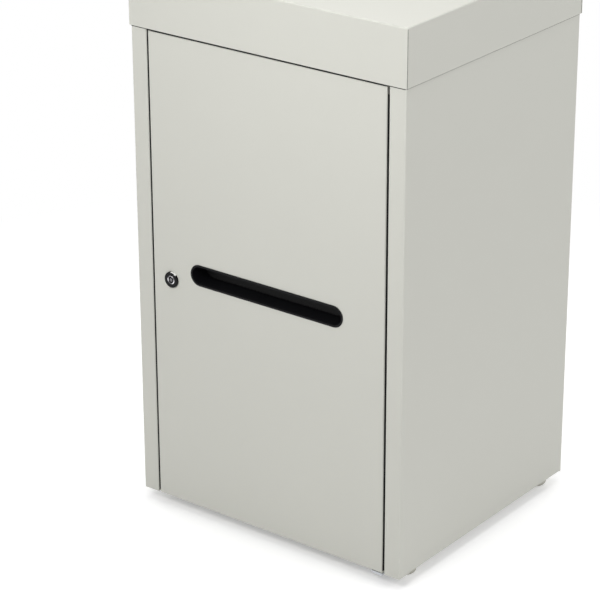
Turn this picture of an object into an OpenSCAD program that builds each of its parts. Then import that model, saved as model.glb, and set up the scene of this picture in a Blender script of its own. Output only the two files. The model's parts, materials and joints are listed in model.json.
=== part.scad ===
// Secure shredding console: a steel cabinet with a flush locked door, a paper slot
// in the door and a collection bin inside. Millimetres, +Z up, the front faces -Y.
// The origin is on the floor, under the centre of the cabinet.

/* [Cabinet] */
// Width over the side panels
body_w = 400; // [320:5:600]
// Depth from the door's face to the back
body_d = 360; // [330:5:600]
// Height from the floor to the top of the cap
total_h = 700; // [620:5:1000]
// Thickness of the body's sheet steel
sheet = 1; // [0.8:0.1:1.5]
// Outer radius of the sheet's bends
bend_r = 2; // [1.8:0.1:3]
// Width of the jambs beside the door
jamb_w = 23; // [20:1:40]
// Depth of the jambs, front to back
jamb_d = 20; // [20:0.5:30]
// Width of the flange that turns in behind each jamb
jamb_return = 12; // [8:0.5:14]
// Width of the side panels' flanges at the rear
rear_flange = 16; // [12:1:24]
// Width of the side panels' flanges at the bottom
bottom_flange = 8; // [5:0.5:9]
// Width of the flanges at the top of the sides and back
top_flange = 14; // [10:1:20]
// Height of the upturned edge round the base
base_lip = 28; // [24:1:40]

/* [Cap] */
// Height of the cap's skirt
cap_h = 70.2; // [50:0.2:120]
// Gap between the cap's skirt and the body
cap_gap = 0.5; // [0.3:0.1:1]
// Height of the channel that carries the cap
channel_h = 14; // [10:1:20]
// Width of the channel that carries the cap
channel_w = 40; // [30:1:60]
// Distance from the front to the middle of that channel
channel_from_front = 110; // [60:5:160]
// Height of the rail above the door
header_h = 42; // [30:1:48]

/* [Door] */
// Thickness of the door's sheet steel
door_sheet = 1.2; // [1:0.1:1.6]
// Depth of the door pan
door_d = 17; // [16:0.5:18]
// Width of the rim that turns in behind the door
door_rim = 12; // [8:0.5:14]
// Gap at the lock edge of the door
lock_gap = 2.5; // [1.5:0.5:4]
// Gap at the hinge edge of the door
hinge_gap = 3; // [3:0.5:6]
// Gap between the door and the cap
door_top_gap = 2.5; // [2:0.5:5]

/* [Hinge] */
// Distance of the pivot from the door's hinge edge
pivot_in = 6.5; // [6.5:0.5:8]
// Distance of the pivot from the door's face
pivot_back = 7; // [7:0.5:7.5]
// Diameter of the pivot pins
pin_d = 6; // [5:0.5:6]
// Thickness of the pivot plates
plate_t = 3; // [2:0.5:4]
// Wall of the plastic bushes
bush_wall = 1; // [0.8:0.1:1.2]
// Length of the bushes
bush_l = 9; // [6:0.5:14]
// Radial clearance of a pin or shaft that turns
running = 0.05; // [0.03:0.01:0.08]

/* [Slot] */
// Width of the black rim round the slot, end to end
slot_w = 230; // [180:2:236]
// Height of the black rim round the slot
slot_h = 27.5; // [20:0.5:32]
// Height of the slot's centre above the cabinet's bottom edge
slot_rise = 317; // [300:1:360]
// Width of the slot liner's visible rim
liner_rim = 1.2; // [1:0.1:2]
// How far the rim stands proud of the door
liner_proud = 0.8; // [0.5:0.1:1.2]
// Wall of the slot liner
liner_wall = 1.2; // [1:0.1:2]
// Length of the flap below its rod
flap_l = 35; // [33:0.5:50]
// Diameter of the flap's rod
rod_d = 4; // [3:0.5:4]
// Distance of the flap's rod behind the door's face
rod_back = 24; // [23:0.5:26]
// Depth of the hood over the flap, from the door's face
hood_d = 32; // [30:1:36]

/* [Lock] */
// Diameter of the lock's bezel
bezel_d = 20.5; // [20.5:0.5:24]
// How far the bezel stands proud of the door
bezel_proud = 2.8; // [2:0.2:4]
// Distance of the lock's axis from the door's lock edge
lock_in = 29; // [28:0.5:32]
// Height of the lock's axis above the cabinet's bottom edge
lock_rise = 301; // [280:1:320]
// Diameter of the lock's threaded body
barrel_d = 18.6; // [17:0.2:18.6]
// Width across the two flats of the lock's body
flats_w = 16; // [14:0.5:16.5]
// Diameter of the key cylinder
plug_d = 11; // [10:0.5:12]
// Length of the cam from the lock's axis to its tip
cam_l = 41; // [39:0.5:43]
// Width of the cam
cam_w = 14; // [12:0.5:16]
// Thickness of the cam
cam_t = 2; // [1.5:0.5:3]

/* [Feet] */
// Height of the cabinet's bottom edge above the floor
foot_h = 15; // [15:1:30]
// Diameter of the feet
foot_d = 30; // [24:1:32]
// Distance of the feet from the sides
foot_side_in = 25; // [25:1:30]
// Distance of the front feet from the front
foot_front_in = 45; // [40:1:70]
// Distance of the rear feet from the back
foot_rear_in = 24; // [22:1:60]

/* [Bin] */
// Width of the bin
bin_w = 290; // [250:5:290]
// Distance from the door's face to the bin
bin_front = 42; // [41:1:60]
// Gap behind the bin
bin_rear_gap = 14; // [10:1:40]
// Height of the bin's low front
bin_front_h = 262; // [200:2:264]
// Height of the bin's back
bin_back_h = 400; // [300:10:420]
// Wall of the moulded bin
bin_wall = 2.5; // [2:0.5:4]
// Radius of the bin's upright corners
bin_corner = 14; // [8:1:20]
// Width of the bin's turned-out rim
bin_rim = 6; // [4:0.5:7]
// Depth of the bin's rim
bin_rim_h = 9; // [6:0.5:14]

/* [Fasteners] */
// Diameter of the blind rivets
rivet_d = 4; // [3:0.5:4.8]
// Height of a rivet's head
rivet_head = 1.3; // [1:0.1:1.5]
// Diameter of the machine screws
screw_d = 5; // [4:0.5:6]

/* [Hidden] */

// Colours
paint = [0.80, 0.80, 0.77];
paint_shade = [0.72, 0.72, 0.69];
black = [0.06, 0.06, 0.06];
steel = [0.72, 0.73, 0.74];
nylon = [0.90, 0.90, 0.86];
foot_grey = [0.63, 0.63, 0.59];
bin_grey = [0.20, 0.21, 0.22];

// Clearances
rest_gap = 0.3;      // between bodies that rest on each other
fit_gap = 0.05;      // round a fastener in its hole
trace = 0.01;        // how far a cut runs past a face
face_fn = 64;        // facets of the larger round forms
small_fn = 32;       // facets of the small ones

// Cabinet
side_x = body_w / 2;
front_y = -body_d / 2;
rear_y = body_d / 2;
body_z = foot_h;
cap_edge_z = total_h - cap_h;
side_top_z = total_h - sheet - channel_h;
jamb_x = side_x - jamb_w;
stop_y = front_y + jamb_d;
base_z = body_z + sheet;
floor_z = base_z + sheet;
back_inner_y = rear_y - 2 * sheet;
header_z = cap_edge_z + 0.2;
stop_lip_h = 18;
header_flange = 12;
rivet_edge = rear_flange / 2;
relief = 2;          // corner relief beside a flange

// Cap
cap_over = cap_gap + sheet;
cap_w = body_w + 2 * cap_over;
cap_d = body_d + 2 * cap_over;
channel_y = front_y + channel_from_front;
cap_seam = 1;        // open seam at each corner of the skirt

// Door
door_left = -jamb_x + lock_gap;
door_right = jamb_x - hinge_gap;
door_w = door_right - door_left;
door_cx = (door_left + door_right) / 2;
door_top = cap_edge_z - door_top_gap;
door_h = door_top - body_z;
skin_y = front_y + door_sheet;

// Hinge
pivot_x = door_right - pivot_in;
pivot_y = front_y + pivot_back;
pin_r = pin_d / 2;
bush_bore_r = pin_r + running;
bush_r = bush_bore_r + bush_wall;
bush_flange_r = bush_r + 0.9;
bush_proud = 0.2;
joggle = sheet + 0.5;
joggle_run = 4;      // how far the joggle slants back
joggle_thin = 0.6;   // how much sooner its upper face slants
tongue_top = base_z - joggle;
pivot_pad_x = pivot_x - 38;
pivot_pad_w = 30;
band_back = 9;
pad_back = 22;
tongue_w = 16;
pivot_screw_back = 13;
pivot_screw_spots = [for (d = [8, 22]) [pivot_pad_x + d, stop_y + pivot_screw_back]];
upper_screw_xs = [for (d = [6, 20]) pivot_pad_x + d];
pin_reach = 8.5;

// Slot
slot_x = door_cx;
slot_z = body_z + slot_rise;
cutout_w = slot_w - 2 * liner_rim;
cutout_h = slot_h - 2 * liner_rim;
flap_t = 1;
rod_r = rod_d / 2;
knuckle_r = rod_r + running + 1.15;
rod_y = front_y + rod_back;
rod_z = slot_z + slot_h / 2 + knuckle_r + 2;
flap_face_y = rod_y + knuckle_r - flap_t;
liner_end_y = flap_face_y - rest_gap;
hood_half = slot_w / 2 + 3;
hood_top_z = rod_z + knuckle_r + 2.3;
hood_low_z = slot_z - slot_h / 2 - 2;
hood_stud_z = hood_top_z + 7;
stud_r = 2;
stud_nut_w = 7;
stud_nut_h = 3.2;
stud_l = sheet + stud_nut_h + 2;
stud_pitch = 80;
hood_stud_xs = [for (i = [-1 : 1]) slot_x + i * stud_pitch];
hood_lip_w = slot_w - 30;
hood_lip_h = 14;
rod_over = 3.5;
clip_t = 0.8;
clip_w = 2.2;
knuckle_l = 36;
knuckle_gap = 4;
flap_half = slot_w / 2 - 1;
flap_foot = 6;

// Stiffeners
hat_d = 12;
hat_half = 13;
hat_reach = 25;
hat_end = 4;
hat_hood_gap = 12;

// Lock
lock_x = door_left + lock_in;
lock_nut_w = 24;
lock_nut_h = 4;
lock_nut_r = lock_nut_w / 2 / cos(30);
lock_room = 2;
lock_beside = lock_x + lock_nut_r + lock_room < slot_x - hood_half - sheet;
lock_below_z = hood_low_z - lock_nut_r - lock_room;
// beside the slot where the door is wide enough, or else clear below its hood
lock_z = lock_beside ? body_z + lock_rise : min(body_z + lock_rise, lock_below_z);
bezel_r = bezel_d / 2;
barrel_r = barrel_d / 2;
plug_r = plug_d / 2;
strike_t = 1.5;
strike_below = 20;   // past the raised cam, downwards
strike_above = 22;   // and upwards
strike_ramp = 8;
strike_lead = 0.3;   // thickness where the ramp starts
cam_y = stop_y + strike_t + 0.5;
barrel_end_y = cam_y - rest_gap;
tail_w = 6;
bezel_edge = 3;
plug_sunk = 0.4;     // from the bezel's face to the cylinder's
key_depth = 6;
key_rim = 1.4;
key_w = 1.8;
index_w = 1.8;
index_l = 2.4;
cam_bolt_r = 1.5;
cam_bolt_head = 7;
cam_bolt_head_h = 2.4;
cam_bolt_l = 8;
washer_r = 5.2;
washer_t = 0.8;

// Feet
foot_r = foot_d / 2;
foot_x = side_x - foot_side_in;
foot_front_y = front_y + foot_front_in;
foot_rear_y = rear_y - foot_rear_in;
foot_round = 4;
foot_bore_z = 6;
screw_r = screw_d / 2;
screw_head_r = screw_d * 0.9;
screw_head_h = screw_d * 0.55;
nut_w = screw_d * 1.6;
nut_h = screw_d * 0.8;

// Bin
bin_y0 = front_y + bin_front;
bin_y1 = back_inner_y - bin_rear_gap;
bin_z0 = floor_z + rest_gap;
bin_low_z = bin_z0 + bin_front_h;
bin_high_z = bin_z0 + bin_back_h;
bin_l = bin_y1 - bin_y0;
guide_gap = 1.5;
guide_w = 10;
guide_h = 20;
guide_l = bin_l - 60;
slope_from = 0.22;   // where the edge starts to rise, as a share of the bin's length
slope_to = 0.62;     // and where it ends
hand_w = 90;
hand_h = 30;
hand_from_back = 0.19;  // as a share of the bin's length
hand_down = 45;      // below the bin's back edge

rivet_r = rivet_d / 2;
bumper_r = 4;
bumper_in = 40;      // from the jamb
bumper_t = jamb_d - door_d - rest_gap;

// ---- Shared shapes ----

// A quarter of a ring, in the quadrant that the two signs name
module quarter_ring(r_out, r_in, sx, sy) {
    intersection() {
        difference() {
            circle(r = r_out, $fn = small_fn);
            circle(r = r_in, $fn = small_fn);
        }
        translate([min(sx, 0) * r_out, min(sy, 0) * r_out]) square(r_out);
    }
}

function unit(v) = v / norm(v);

// Section of a sheet folded square along a line of points, which run mid-thickness
module folded(points, t = sheet, r = bend_r) {
    mid_r = r - t / 2;
    last = len(points) - 1;
    for (i = [0 : last - 1]) {
        dir = unit(points[i + 1] - points[i]);
        a = i == 0 ? points[i] : points[i] + dir * mid_r;
        b = i == last - 1 ? points[i + 1] : points[i + 1] - dir * mid_r;
        half = [abs(dir[1]), abs(dir[0])] * t / 2;
        low = [min(a[0], b[0]), min(a[1], b[1])] - half;
        high = [max(a[0], b[0]), max(a[1], b[1])] + half;
        if (norm(b - a) > trace / 2) translate(low) square(high - low);
    }
    for (i = [1 : 1 : last - 1]) {
        back = unit(points[i - 1] - points[i]);
        on = unit(points[i + 1] - points[i]);
        centre = points[i] + (back + on) * mid_r;
        corner = -(back + on);
        translate(centre) quarter_ring(r, r - t, corner[0], corner[1]);
    }
}

// Stands an (x, y) section up along Z, or lays a (y, z) section along X
module upright(z0, z1) { translate([0, 0, z0]) linear_extrude(z1 - z0) children(); }
module across(x0, x1) {
    translate([x0, 0, 0]) rotate([90, 0, 90]) linear_extrude(x1 - x0) children();
}
// Runs an (x, z) section from y0 back to y1
module along(y0, y1) {
    translate([0, y1, 0]) rotate([90, 0, 0]) linear_extrude(y1 - y0) children();
}

// A block w wide, d deep and h high, with the edges of its front face rounded
module pressed_block(w, d, h, r) {
    intersection() {
        linear_extrude(h) pressed_outline(w, d, r);
        translate([-w / 2, 0, h / 2]) rotate([90, 0, 90])
            linear_extrude(w) mirror([1, -1]) pressed_outline(h, d, r);
    }
}
module pressed_outline(w, d, r) {
    translate([-w / 2, r]) square([w, d - r]);
    translate([-w / 2 + r, 0]) square([w - 2 * r, r + trace]);
    for (s = [-1, 1]) translate([s * (w / 2 - r), r]) circle(r = r, $fn = small_fn);
}

// An open pan whose face is at y = 0 and whose sides run back to y = d
module pan(w, d, h, t, r) {
    difference() {
        pressed_block(w, d, h, r);
        translate([0, t, t]) pressed_block(w - 2 * t, d, h - 2 * t, r - t);
    }
}

// A slot-shaped outline with round ends
module stadium(w, h) {
    square([w - h, h], center = true);
    for (s = [-1, 1]) translate([s * (w - h) / 2, 0]) circle(d = h, $fn = face_fn);
}

module hex_nut(across_flats, h, bore_r) {
    difference() {
        cylinder(d = across_flats / cos(30), h = h, $fn = 6);
        translate([0, 0, -trace]) cylinder(r = bore_r, h = h + 2 * trace, $fn = small_fn);
    }
}

// A pan-head screw along +Z, its head below z = 0
module pan_screw(r, length, head_r, head_h) {
    cylinder(r = r, h = length, $fn = small_fn);
    edge = head_h * 0.4;
    translate([0, 0, -head_h]) rotate_extrude($fn = small_fn) difference() {
        union() {
            translate([0, edge]) square([head_r, head_h - edge]);
            square([head_r - edge, head_h]);
            translate([head_r - edge, edge]) circle(r = edge, $fn = small_fn);
        }
        translate([-head_r, 0]) square([head_r, head_h]);
        square([head_r * 0.25, head_h * 0.45]);
    }
}

// A blind rivet along +Z, its head below z = 0 and its bulb past the grip
module blind_rivet(grip) {
    cylinder(r = rivet_r, h = grip, $fn = small_fn);
    translate([0, 0, grip]) cylinder(r1 = rivet_r * 1.45, r2 = rivet_r, h = 3, $fn = small_fn);
    translate([0, 0, -rivet_head]) difference() {
        cylinder(r1 = rivet_r * 1.3, r2 = rivet_r * 2, h = rivet_head, $fn = small_fn);
        translate([0, 0, -trace]) cylinder(r = rivet_r * 0.5, h = rivet_head / 2, $fn = small_fn);
    }
}

// ---- Cabinet ----

rivet_end = 60;       // from a panel's end to its first rivet
rivet_span = side_top_z - body_z - 2 * rivet_end;
back_rivet_zs = [for (i = [0 : 3]) body_z + rivet_end + i * rivet_span / 3];
base_rivet_xs = [-1, 0, 1] * (side_x - rivet_end - 20);
cap_rivet_xs = [-1, 0, 1] * (side_x - rivet_end);
cap_rivet_z = cap_edge_z + 14;
strike_rivet_zs = [lock_z + cam_w / 2 + 8, lock_z + cam_w / 2 + 17];
strike_x = -jamb_x - jamb_return / 2;
rivet_hole_r = rivet_r + fit_gap;
strike_rivet_r = 1.5;

// One side panel with its jamb and flanges, drawn as the right-hand one
module side_sheet() {
    half = sheet / 2;
    section = [
        [jamb_x + jamb_return, stop_y - half], [jamb_x + half, stop_y - half],
        [jamb_x + half, front_y + half], [side_x - half, front_y + half],
        [side_x - half, rear_y - half], [side_x - rear_flange, rear_y - half],
    ];
    flange_y0 = stop_y + relief;
    flange_y1 = rear_y - bend_r - relief;
    difference() {
        upright(body_z, side_top_z) folded(section);
        for (z = [body_z - trace, side_top_z - bend_r])
            translate([side_x - bend_r, flange_y0, z])
                cube([bend_r + 1, flange_y1 - flange_y0, bend_r + trace]);
        for (z = back_rivet_zs)
            translate([side_x - rivet_edge, rear_y + 1, z]) rotate([90, 0, 0])
                cylinder(r = rivet_hole_r, h = sheet + 2, $fn = small_fn);
    }
    along(flange_y0, flange_y1) folded([
        [side_x - sheet - bottom_flange, body_z + half], [side_x - half, body_z + half],
        [side_x - half, body_z + bend_r],
    ]);
    difference() {
        along(flange_y0, flange_y1) folded([
            [side_x - half, side_top_z - bend_r], [side_x - half, side_top_z - half],
            [side_x - sheet - top_flange, side_top_z - half],
        ]);
        cap_screw_hole();
    }
}

module cap_screw_hole() {
    translate([side_x - sheet - top_flange / 2, channel_y, side_top_z - 3 * sheet])
        cylinder(r = screw_r + fit_gap, h = 6 * sheet, $fn = small_fn);
}

module right_side_panel() { color(paint) side_sheet(); }

module left_side_panel() {
    color(paint) difference() {
        mirror([1, 0, 0]) side_sheet();
        for (z = strike_rivet_zs) translate([strike_x, stop_y + 1, z]) rotate([90, 0, 0])
            cylinder(r = strike_rivet_r + fit_gap, h = sheet + 2, $fn = small_fn);
    }
}

module back_panel() {
    half = sheet / 2;
    mid_y = rear_y - sheet - half;
    color(paint) difference() {
        across(-side_x + bend_r, side_x - bend_r) folded([
            [mid_y, base_z], [mid_y, side_top_z - half], [mid_y - top_flange, side_top_z - half],
        ]);
        for (s = [-1, 1], z = back_rivet_zs)
            translate([s * (side_x - rivet_edge), rear_y, z]) rotate([90, 0, 0])
                cylinder(r = rivet_hole_r, h = 4 * sheet, $fn = small_fn);
        for (x = base_rivet_xs)
            translate([x, rear_y, base_z + base_lip / 2]) rotate([90, 0, 0])
                cylinder(r = rivet_hole_r, h = 4 * sheet, $fn = small_fn);
        for (x = cap_rivet_xs)
            translate([x, rear_y, cap_rivet_z]) rotate([90, 0, 0])
                cylinder(r = rivet_hole_r, h = 4 * sheet, $fn = small_fn);
        // room for the top flanges of the sides
        for (s = [-1, 1])
            translate([s * (side_x - top_flange / 2), rear_y - top_flange, side_top_z])
                cube([top_flange + 4, 2 * top_flange - 4 * sheet - 1, 4 * bend_r], center = true);
    }
}

module base_pan() {
    w = body_w - 2 * sheet;
    l = back_inner_y - stop_y;
    color(paint) difference() {
        translate([0, back_inner_y, base_z]) rotate([90, 0, 0])
            pan(w, base_lip, l, sheet, bend_r);
        for (x = [-foot_x, foot_x], y = [foot_front_y, foot_rear_y])
            translate([x, y, base_z - trace])
                cylinder(r = screw_r + fit_gap, h = sheet + 2 * trace, $fn = small_fn);
        for (p = pivot_screw_spots)
            translate([p[0], p[1], base_z - trace])
                cylinder(r = screw_r + fit_gap, h = sheet + 2 * trace, $fn = small_fn);
        for (x = base_rivet_xs)
            translate([x, rear_y, base_z + base_lip / 2]) rotate([90, 0, 0])
                cylinder(r = rivet_hole_r, h = 5 * sheet, $fn = small_fn);
    }
}

module header_rail() {
    half = sheet / 2;
    top = header_z + header_h;
    color(paint) difference() {
        across(-jamb_x, jamb_x) folded([
            [front_y + header_flange, top - half], [front_y + half, top - half],
            [front_y + half, header_z + half], [stop_y + half, header_z + half],
            [stop_y + half, header_z - stop_lip_h],
        ]);
        translate([pivot_x, pivot_y, header_z - 1])
            cylinder(r = pin_r + fit_gap, h = sheet + 2, $fn = small_fn);
        for (x = upper_screw_xs)
            translate([x, pivot_y, header_z - 1])
                cylinder(r = screw_r + fit_gap, h = sheet + 2, $fn = small_fn);
    }
}

module top_cap() {
    color(paint) difference() {
        translate([0, -cap_d / 2, total_h]) rotate([-90, 0, 0])
            pan(cap_w, cap_h, cap_d, sheet, bend_r);
        // the skirts are folded down one by one, and the side ones stop short of the others
        for (sx = [-1, 1], sy = [-1, 1]) scale([sx, sy, 1])
            translate([cap_w / 2 - 2 * sheet, cap_d / 2 - sheet - cap_seam, cap_edge_z - 1])
                cube([3 * sheet, cap_seam, cap_h + 1 - bend_r]);
        for (x = cap_rivet_xs)
            translate([x, cap_d / 2 + 1, cap_rivet_z]) rotate([90, 0, 0])
                cylinder(r = rivet_hole_r, h = sheet + 2, $fn = small_fn);
    }
}

module cap_channel() {
    half = sheet / 2;
    foot = 14;
    y0 = channel_y - channel_w / 2;
    y1 = channel_y + channel_w / 2;
    top = side_top_z + channel_h - half;
    reach = side_x - sheet - 1;
    color(paint_shade) difference() {
        // an upside-down tray: its web is bonded under the cap, its ends stand on the flanges
        union() {
            across(-reach, reach) folded([
                [y0 + half, side_top_z + sheet + 2], [y0 + half, top], [y1 - half, top],
                [y1 - half, side_top_z + sheet + 2],
            ]);
            for (s = [-1, 1]) translate([min(s * reach, s * (reach - foot)), y0 + bend_r, side_top_z])
                cube([foot, channel_w - 2 * bend_r, sheet]);
            for (s = [-1, 1]) translate([s * reach - (s > 0 ? sheet : 0), y0 + bend_r, side_top_z])
                cube([sheet, channel_w - 2 * bend_r, channel_h]);
        }
        for (s = [-1, 1]) mirror([s < 0 ? 1 : 0, 0, 0]) cap_screw_hole();
    }
}

module cap_screws() {
    color(steel) for (s = [-1, 1])
        translate([s * (side_x - sheet - top_flange / 2), channel_y, side_top_z - sheet]) {
            pan_screw(screw_r, 2 * sheet + nut_h + 1, screw_head_r, screw_head_h);
            translate([0, 0, 2 * sheet]) hex_nut(nut_w, nut_h, screw_r);
        }
}

module cap_rivets() {
    color(steel) for (x = cap_rivet_xs)
        translate([x, cap_d / 2, cap_rivet_z]) rotate([90, 0, 0])
            blind_rivet(3 * sheet + cap_gap);
}

module back_rivets() {
    color(steel) {
        for (s = [-1, 1], z = back_rivet_zs)
            translate([s * (side_x - rivet_edge), rear_y, z]) rotate([90, 0, 0])
                blind_rivet(2 * sheet);
        for (x = base_rivet_xs)
            translate([x, rear_y - sheet, base_z + base_lip / 2]) rotate([90, 0, 0])
                blind_rivet(2 * sheet);
    }
}

// An angle that keeps the bin in line, drawn on the right
module guide() {
    x0 = bin_w / 2 + guide_gap;
    half = sheet / 2;
    translate([0, (bin_y0 + bin_y1) / 2, 0]) along(-guide_l / 2, guide_l / 2) folded([
        [x0 + half, floor_z + guide_h], [x0 + half, floor_z + half], [x0 + guide_w, floor_z + half],
    ]);
}
module right_bin_guide() { color(paint_shade) guide(); }
module left_bin_guide() { color(paint_shade) mirror([1, 0, 0]) guide(); }

// ---- Feet ----

module foot(x, y) {
    color(foot_grey) translate([x, y, 0]) rotate_extrude($fn = face_fn) difference() {
        union() {
            translate([0, foot_round]) square([foot_r, base_z - foot_round]);
            square([foot_r - foot_round, base_z]);
            translate([foot_r - foot_round, foot_round]) circle(r = foot_round, $fn = small_fn);
        }
        translate([-foot_r, -1]) square([foot_r, base_z + 2]);
        translate([0, -1]) square([screw_head_r + 1, foot_bore_z + 1]);
        translate([0, -1]) square([screw_r + fit_gap, base_z + 2]);
    }
}
module front_left_foot() { foot(-foot_x, foot_front_y); }
module front_right_foot() { foot(foot_x, foot_front_y); }
module rear_left_foot() { foot(-foot_x, foot_rear_y); }
module rear_right_foot() { foot(foot_x, foot_rear_y); }

module foot_screws() {
    color(steel) for (x = [-foot_x, foot_x], y = [foot_front_y, foot_rear_y])
        translate([x, y, foot_bore_z])
            pan_screw(screw_r, floor_z + nut_h + 1 - foot_bore_z, screw_head_r, screw_head_h);
}

module foot_nuts() {
    color(steel) for (x = [-foot_x, foot_x], y = [foot_front_y, foot_rear_y])
        translate([x, y, floor_z]) hex_nut(nut_w, nut_h, screw_r + fit_gap);
}

// ---- Door pivots and strike ----

// A plate screwed up against the base; its tongue is joggled down, clear of the door
module lower_pivot_plate() {
    low = tongue_top - plate_t;
    end_x = pivot_x + pivot_in;
    color(steel) difference() {
        union() {
            across(pivot_pad_x, end_x) polygon([
                [stop_y - 2, low], [stop_y, low], [stop_y + joggle_run, low + joggle],
                [stop_y + band_back, low + joggle], [stop_y + band_back, base_z],
                [stop_y + joggle_run - joggle_thin, base_z], [stop_y - joggle_thin, tongue_top],
                [stop_y - 2, tongue_top],
            ]);
            translate([pivot_pad_x, stop_y + band_back - trace, low + joggle])
                cube([pivot_pad_w, pad_back - band_back + trace, plate_t]);
            translate([end_x - tongue_w, front_y + 1, low])
                cube([tongue_w, jamb_d - 2, plate_t]);
        }
        translate([pivot_x, pivot_y, low - 1])
            cylinder(r = pin_r, h = plate_t + 2, $fn = small_fn);
        for (p = pivot_screw_spots) translate([p[0], p[1], low - 1])
            cylinder(r = screw_r + fit_gap, h = plate_t + joggle + 2, $fn = small_fn);
    }
}

module lower_pivot_pin() {
    color(steel) translate([pivot_x, pivot_y, tongue_top - plate_t]) {
        cylinder(r = pin_r, h = plate_t + pin_reach - 1, $fn = small_fn);
        translate([0, 0, plate_t + pin_reach - 1])
            cylinder(r1 = pin_r, r2 = pin_r - 1, h = 1, $fn = small_fn);
    }
}

module upper_pivot_plate() {
    y0 = front_y + bend_r + 0.2;
    color(steel) difference() {
        translate([pivot_pad_x, y0, header_z + sheet])
            cube([pivot_x + pivot_in - pivot_pad_x, stop_y - y0 - 1, plate_t]);
        translate([pivot_x, pivot_y, header_z]) cylinder(r = pin_r, h = plate_t + 3, $fn = small_fn);
        for (x = upper_screw_xs) translate([x, pivot_y, header_z])
            cylinder(r = screw_r + fit_gap, h = plate_t + 3, $fn = small_fn);
    }
}

module upper_pivot_pin() {
    low = door_top - pin_reach;
    color(steel) translate([pivot_x, pivot_y, 0]) {
        translate([0, 0, low + 1])
            cylinder(r = pin_r, h = header_z + sheet + plate_t - low - 1, $fn = small_fn);
        translate([0, 0, low]) cylinder(r1 = pin_r - 1, r2 = pin_r, h = 1, $fn = small_fn);
    }
}

module pivot_screws() {
    color(steel) {
        for (p = pivot_screw_spots) translate([p[0], p[1], base_z - plate_t]) {
            pan_screw(screw_r, plate_t + sheet + nut_h + 1, screw_head_r, screw_head_h);
            translate([0, 0, plate_t + sheet]) hex_nut(nut_w, nut_h, screw_r);
        }
        // driven down into pressed threads in the header, flush with its underside
        for (x = upper_screw_xs) translate([x, pivot_y, header_z + sheet + plate_t])
            mirror([0, 0, 1]) pan_screw(screw_r, sheet + plate_t, screw_head_r, screw_head_h);
    }
}

// Wear plate behind the jamb, with a ramp where the cam comes up
module lock_strike() {
    z0 = lock_z - cam_w / 2 - strike_below;
    z1 = lock_z + cam_w / 2 + strike_above;
    color(steel) difference() {
        across(-jamb_x - jamb_return, -jamb_x - bend_r) polygon([
            [stop_y, z0], [stop_y + strike_lead, z0], [stop_y + strike_t, z0 + strike_ramp],
            [stop_y + strike_t, z1], [stop_y, z1],
        ]);
        for (z = strike_rivet_zs) translate([strike_x, stop_y + strike_t + 1, z]) rotate([90, 0, 0])
            cylinder(r = strike_rivet_r + fit_gap, h = strike_t + 2, $fn = small_fn);
    }
}

module strike_rivets() {
    head = 0.9;
    color(steel) for (z = strike_rivet_zs)
        translate([strike_x, stop_y - sheet - head, z]) rotate([-90, 0, 0]) {
            cylinder(r = strike_rivet_r, h = sheet + strike_t + 2 * head, $fn = small_fn);
            cylinder(r1 = strike_rivet_r * 1.2, r2 = strike_rivet_r * 1.8, h = head, $fn = small_fn);
            translate([0, 0, head + sheet + strike_t])
                cylinder(r1 = strike_rivet_r * 1.8, r2 = strike_rivet_r * 1.2, h = head, $fn = small_fn);
        }
}

module door_bumpers() {
    zs = [base_z + 6, header_z - stop_lip_h / 2];
    color(black) for (x = [-1, 1], z = zs)
        translate([x * (jamb_x - bumper_in), stop_y, z]) rotate([90, 0, 0]) {
            cylinder(r = bumper_r, h = bumper_t / 2, $fn = small_fn);
            translate([0, 0, bumper_t / 2])
                cylinder(r1 = bumper_r, r2 = bumper_r - 1, h = bumper_t / 2, $fn = small_fn);
        }
}

// ---- Door ----

module door_panel() {
    color(paint) {
        difference() {
            union() {
                translate([door_cx, front_y, body_z]) pan(door_w, door_d, door_h, door_sheet, bend_r);
                // the rim that turns in behind the pan
                translate([0, front_y + door_d - door_sheet, 0]) difference() {
                    translate([door_left, 0, body_z]) cube([door_w, door_sheet, door_h]);
                    translate([door_left + door_rim, -1, body_z + door_rim])
                        cube([door_w - 2 * door_rim, door_sheet + 2, door_h - 2 * door_rim]);
                }
            }
            translate([slot_x, skin_y + 1, slot_z]) rotate([90, 0, 0])
                linear_extrude(door_sheet + 2) stadium(cutout_w, cutout_h);
            translate([lock_x, skin_y + 1, lock_z]) rotate([90, 0, 0])
                linear_extrude(door_sheet + 2) barrel_outline(0.1);
            for (z = [body_z - 1, door_top - door_sheet - 1])
                translate([pivot_x, pivot_y, z])
                    cylinder(r = bush_r + fit_gap, h = door_sheet + 2, $fn = small_fn);
        }
        for (x = hood_stud_xs) translate([x, skin_y + stud_l, hood_stud_z]) rotate([90, 0, 0])
            cylinder(r = stud_r, h = stud_l, $fn = small_fn);
    }
}
// A round lock body with two flats, left and right
module barrel_outline(extra) {
    intersection() {
        circle(r = barrel_r + extra, $fn = face_fn);
        square([flats_w + 2 * extra, 2 * barrel_r + 2], center = true);
    }
}

// A pressed hat section up the inside of the door
module stiffener(z0, z1) {
    half = sheet / 2;
    foot_y = skin_y + half;
    crown_y = skin_y + hat_d;
    color(paint_shade) translate([door_cx, 0, 0]) upright(z0, z1) folded([
        [-hat_reach, foot_y], [-hat_half, foot_y], [-hat_half, crown_y],
        [hat_half, crown_y], [hat_half, foot_y], [hat_reach, foot_y],
    ]);
}
module upper_stiffener() {
    stiffener(hood_stud_z + hat_hood_gap, door_top - door_rim - hat_end);
}
module lower_stiffener() {
    stiffener(body_z + door_rim + hat_end, hood_low_z - hat_hood_gap - hat_end);
}

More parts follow.
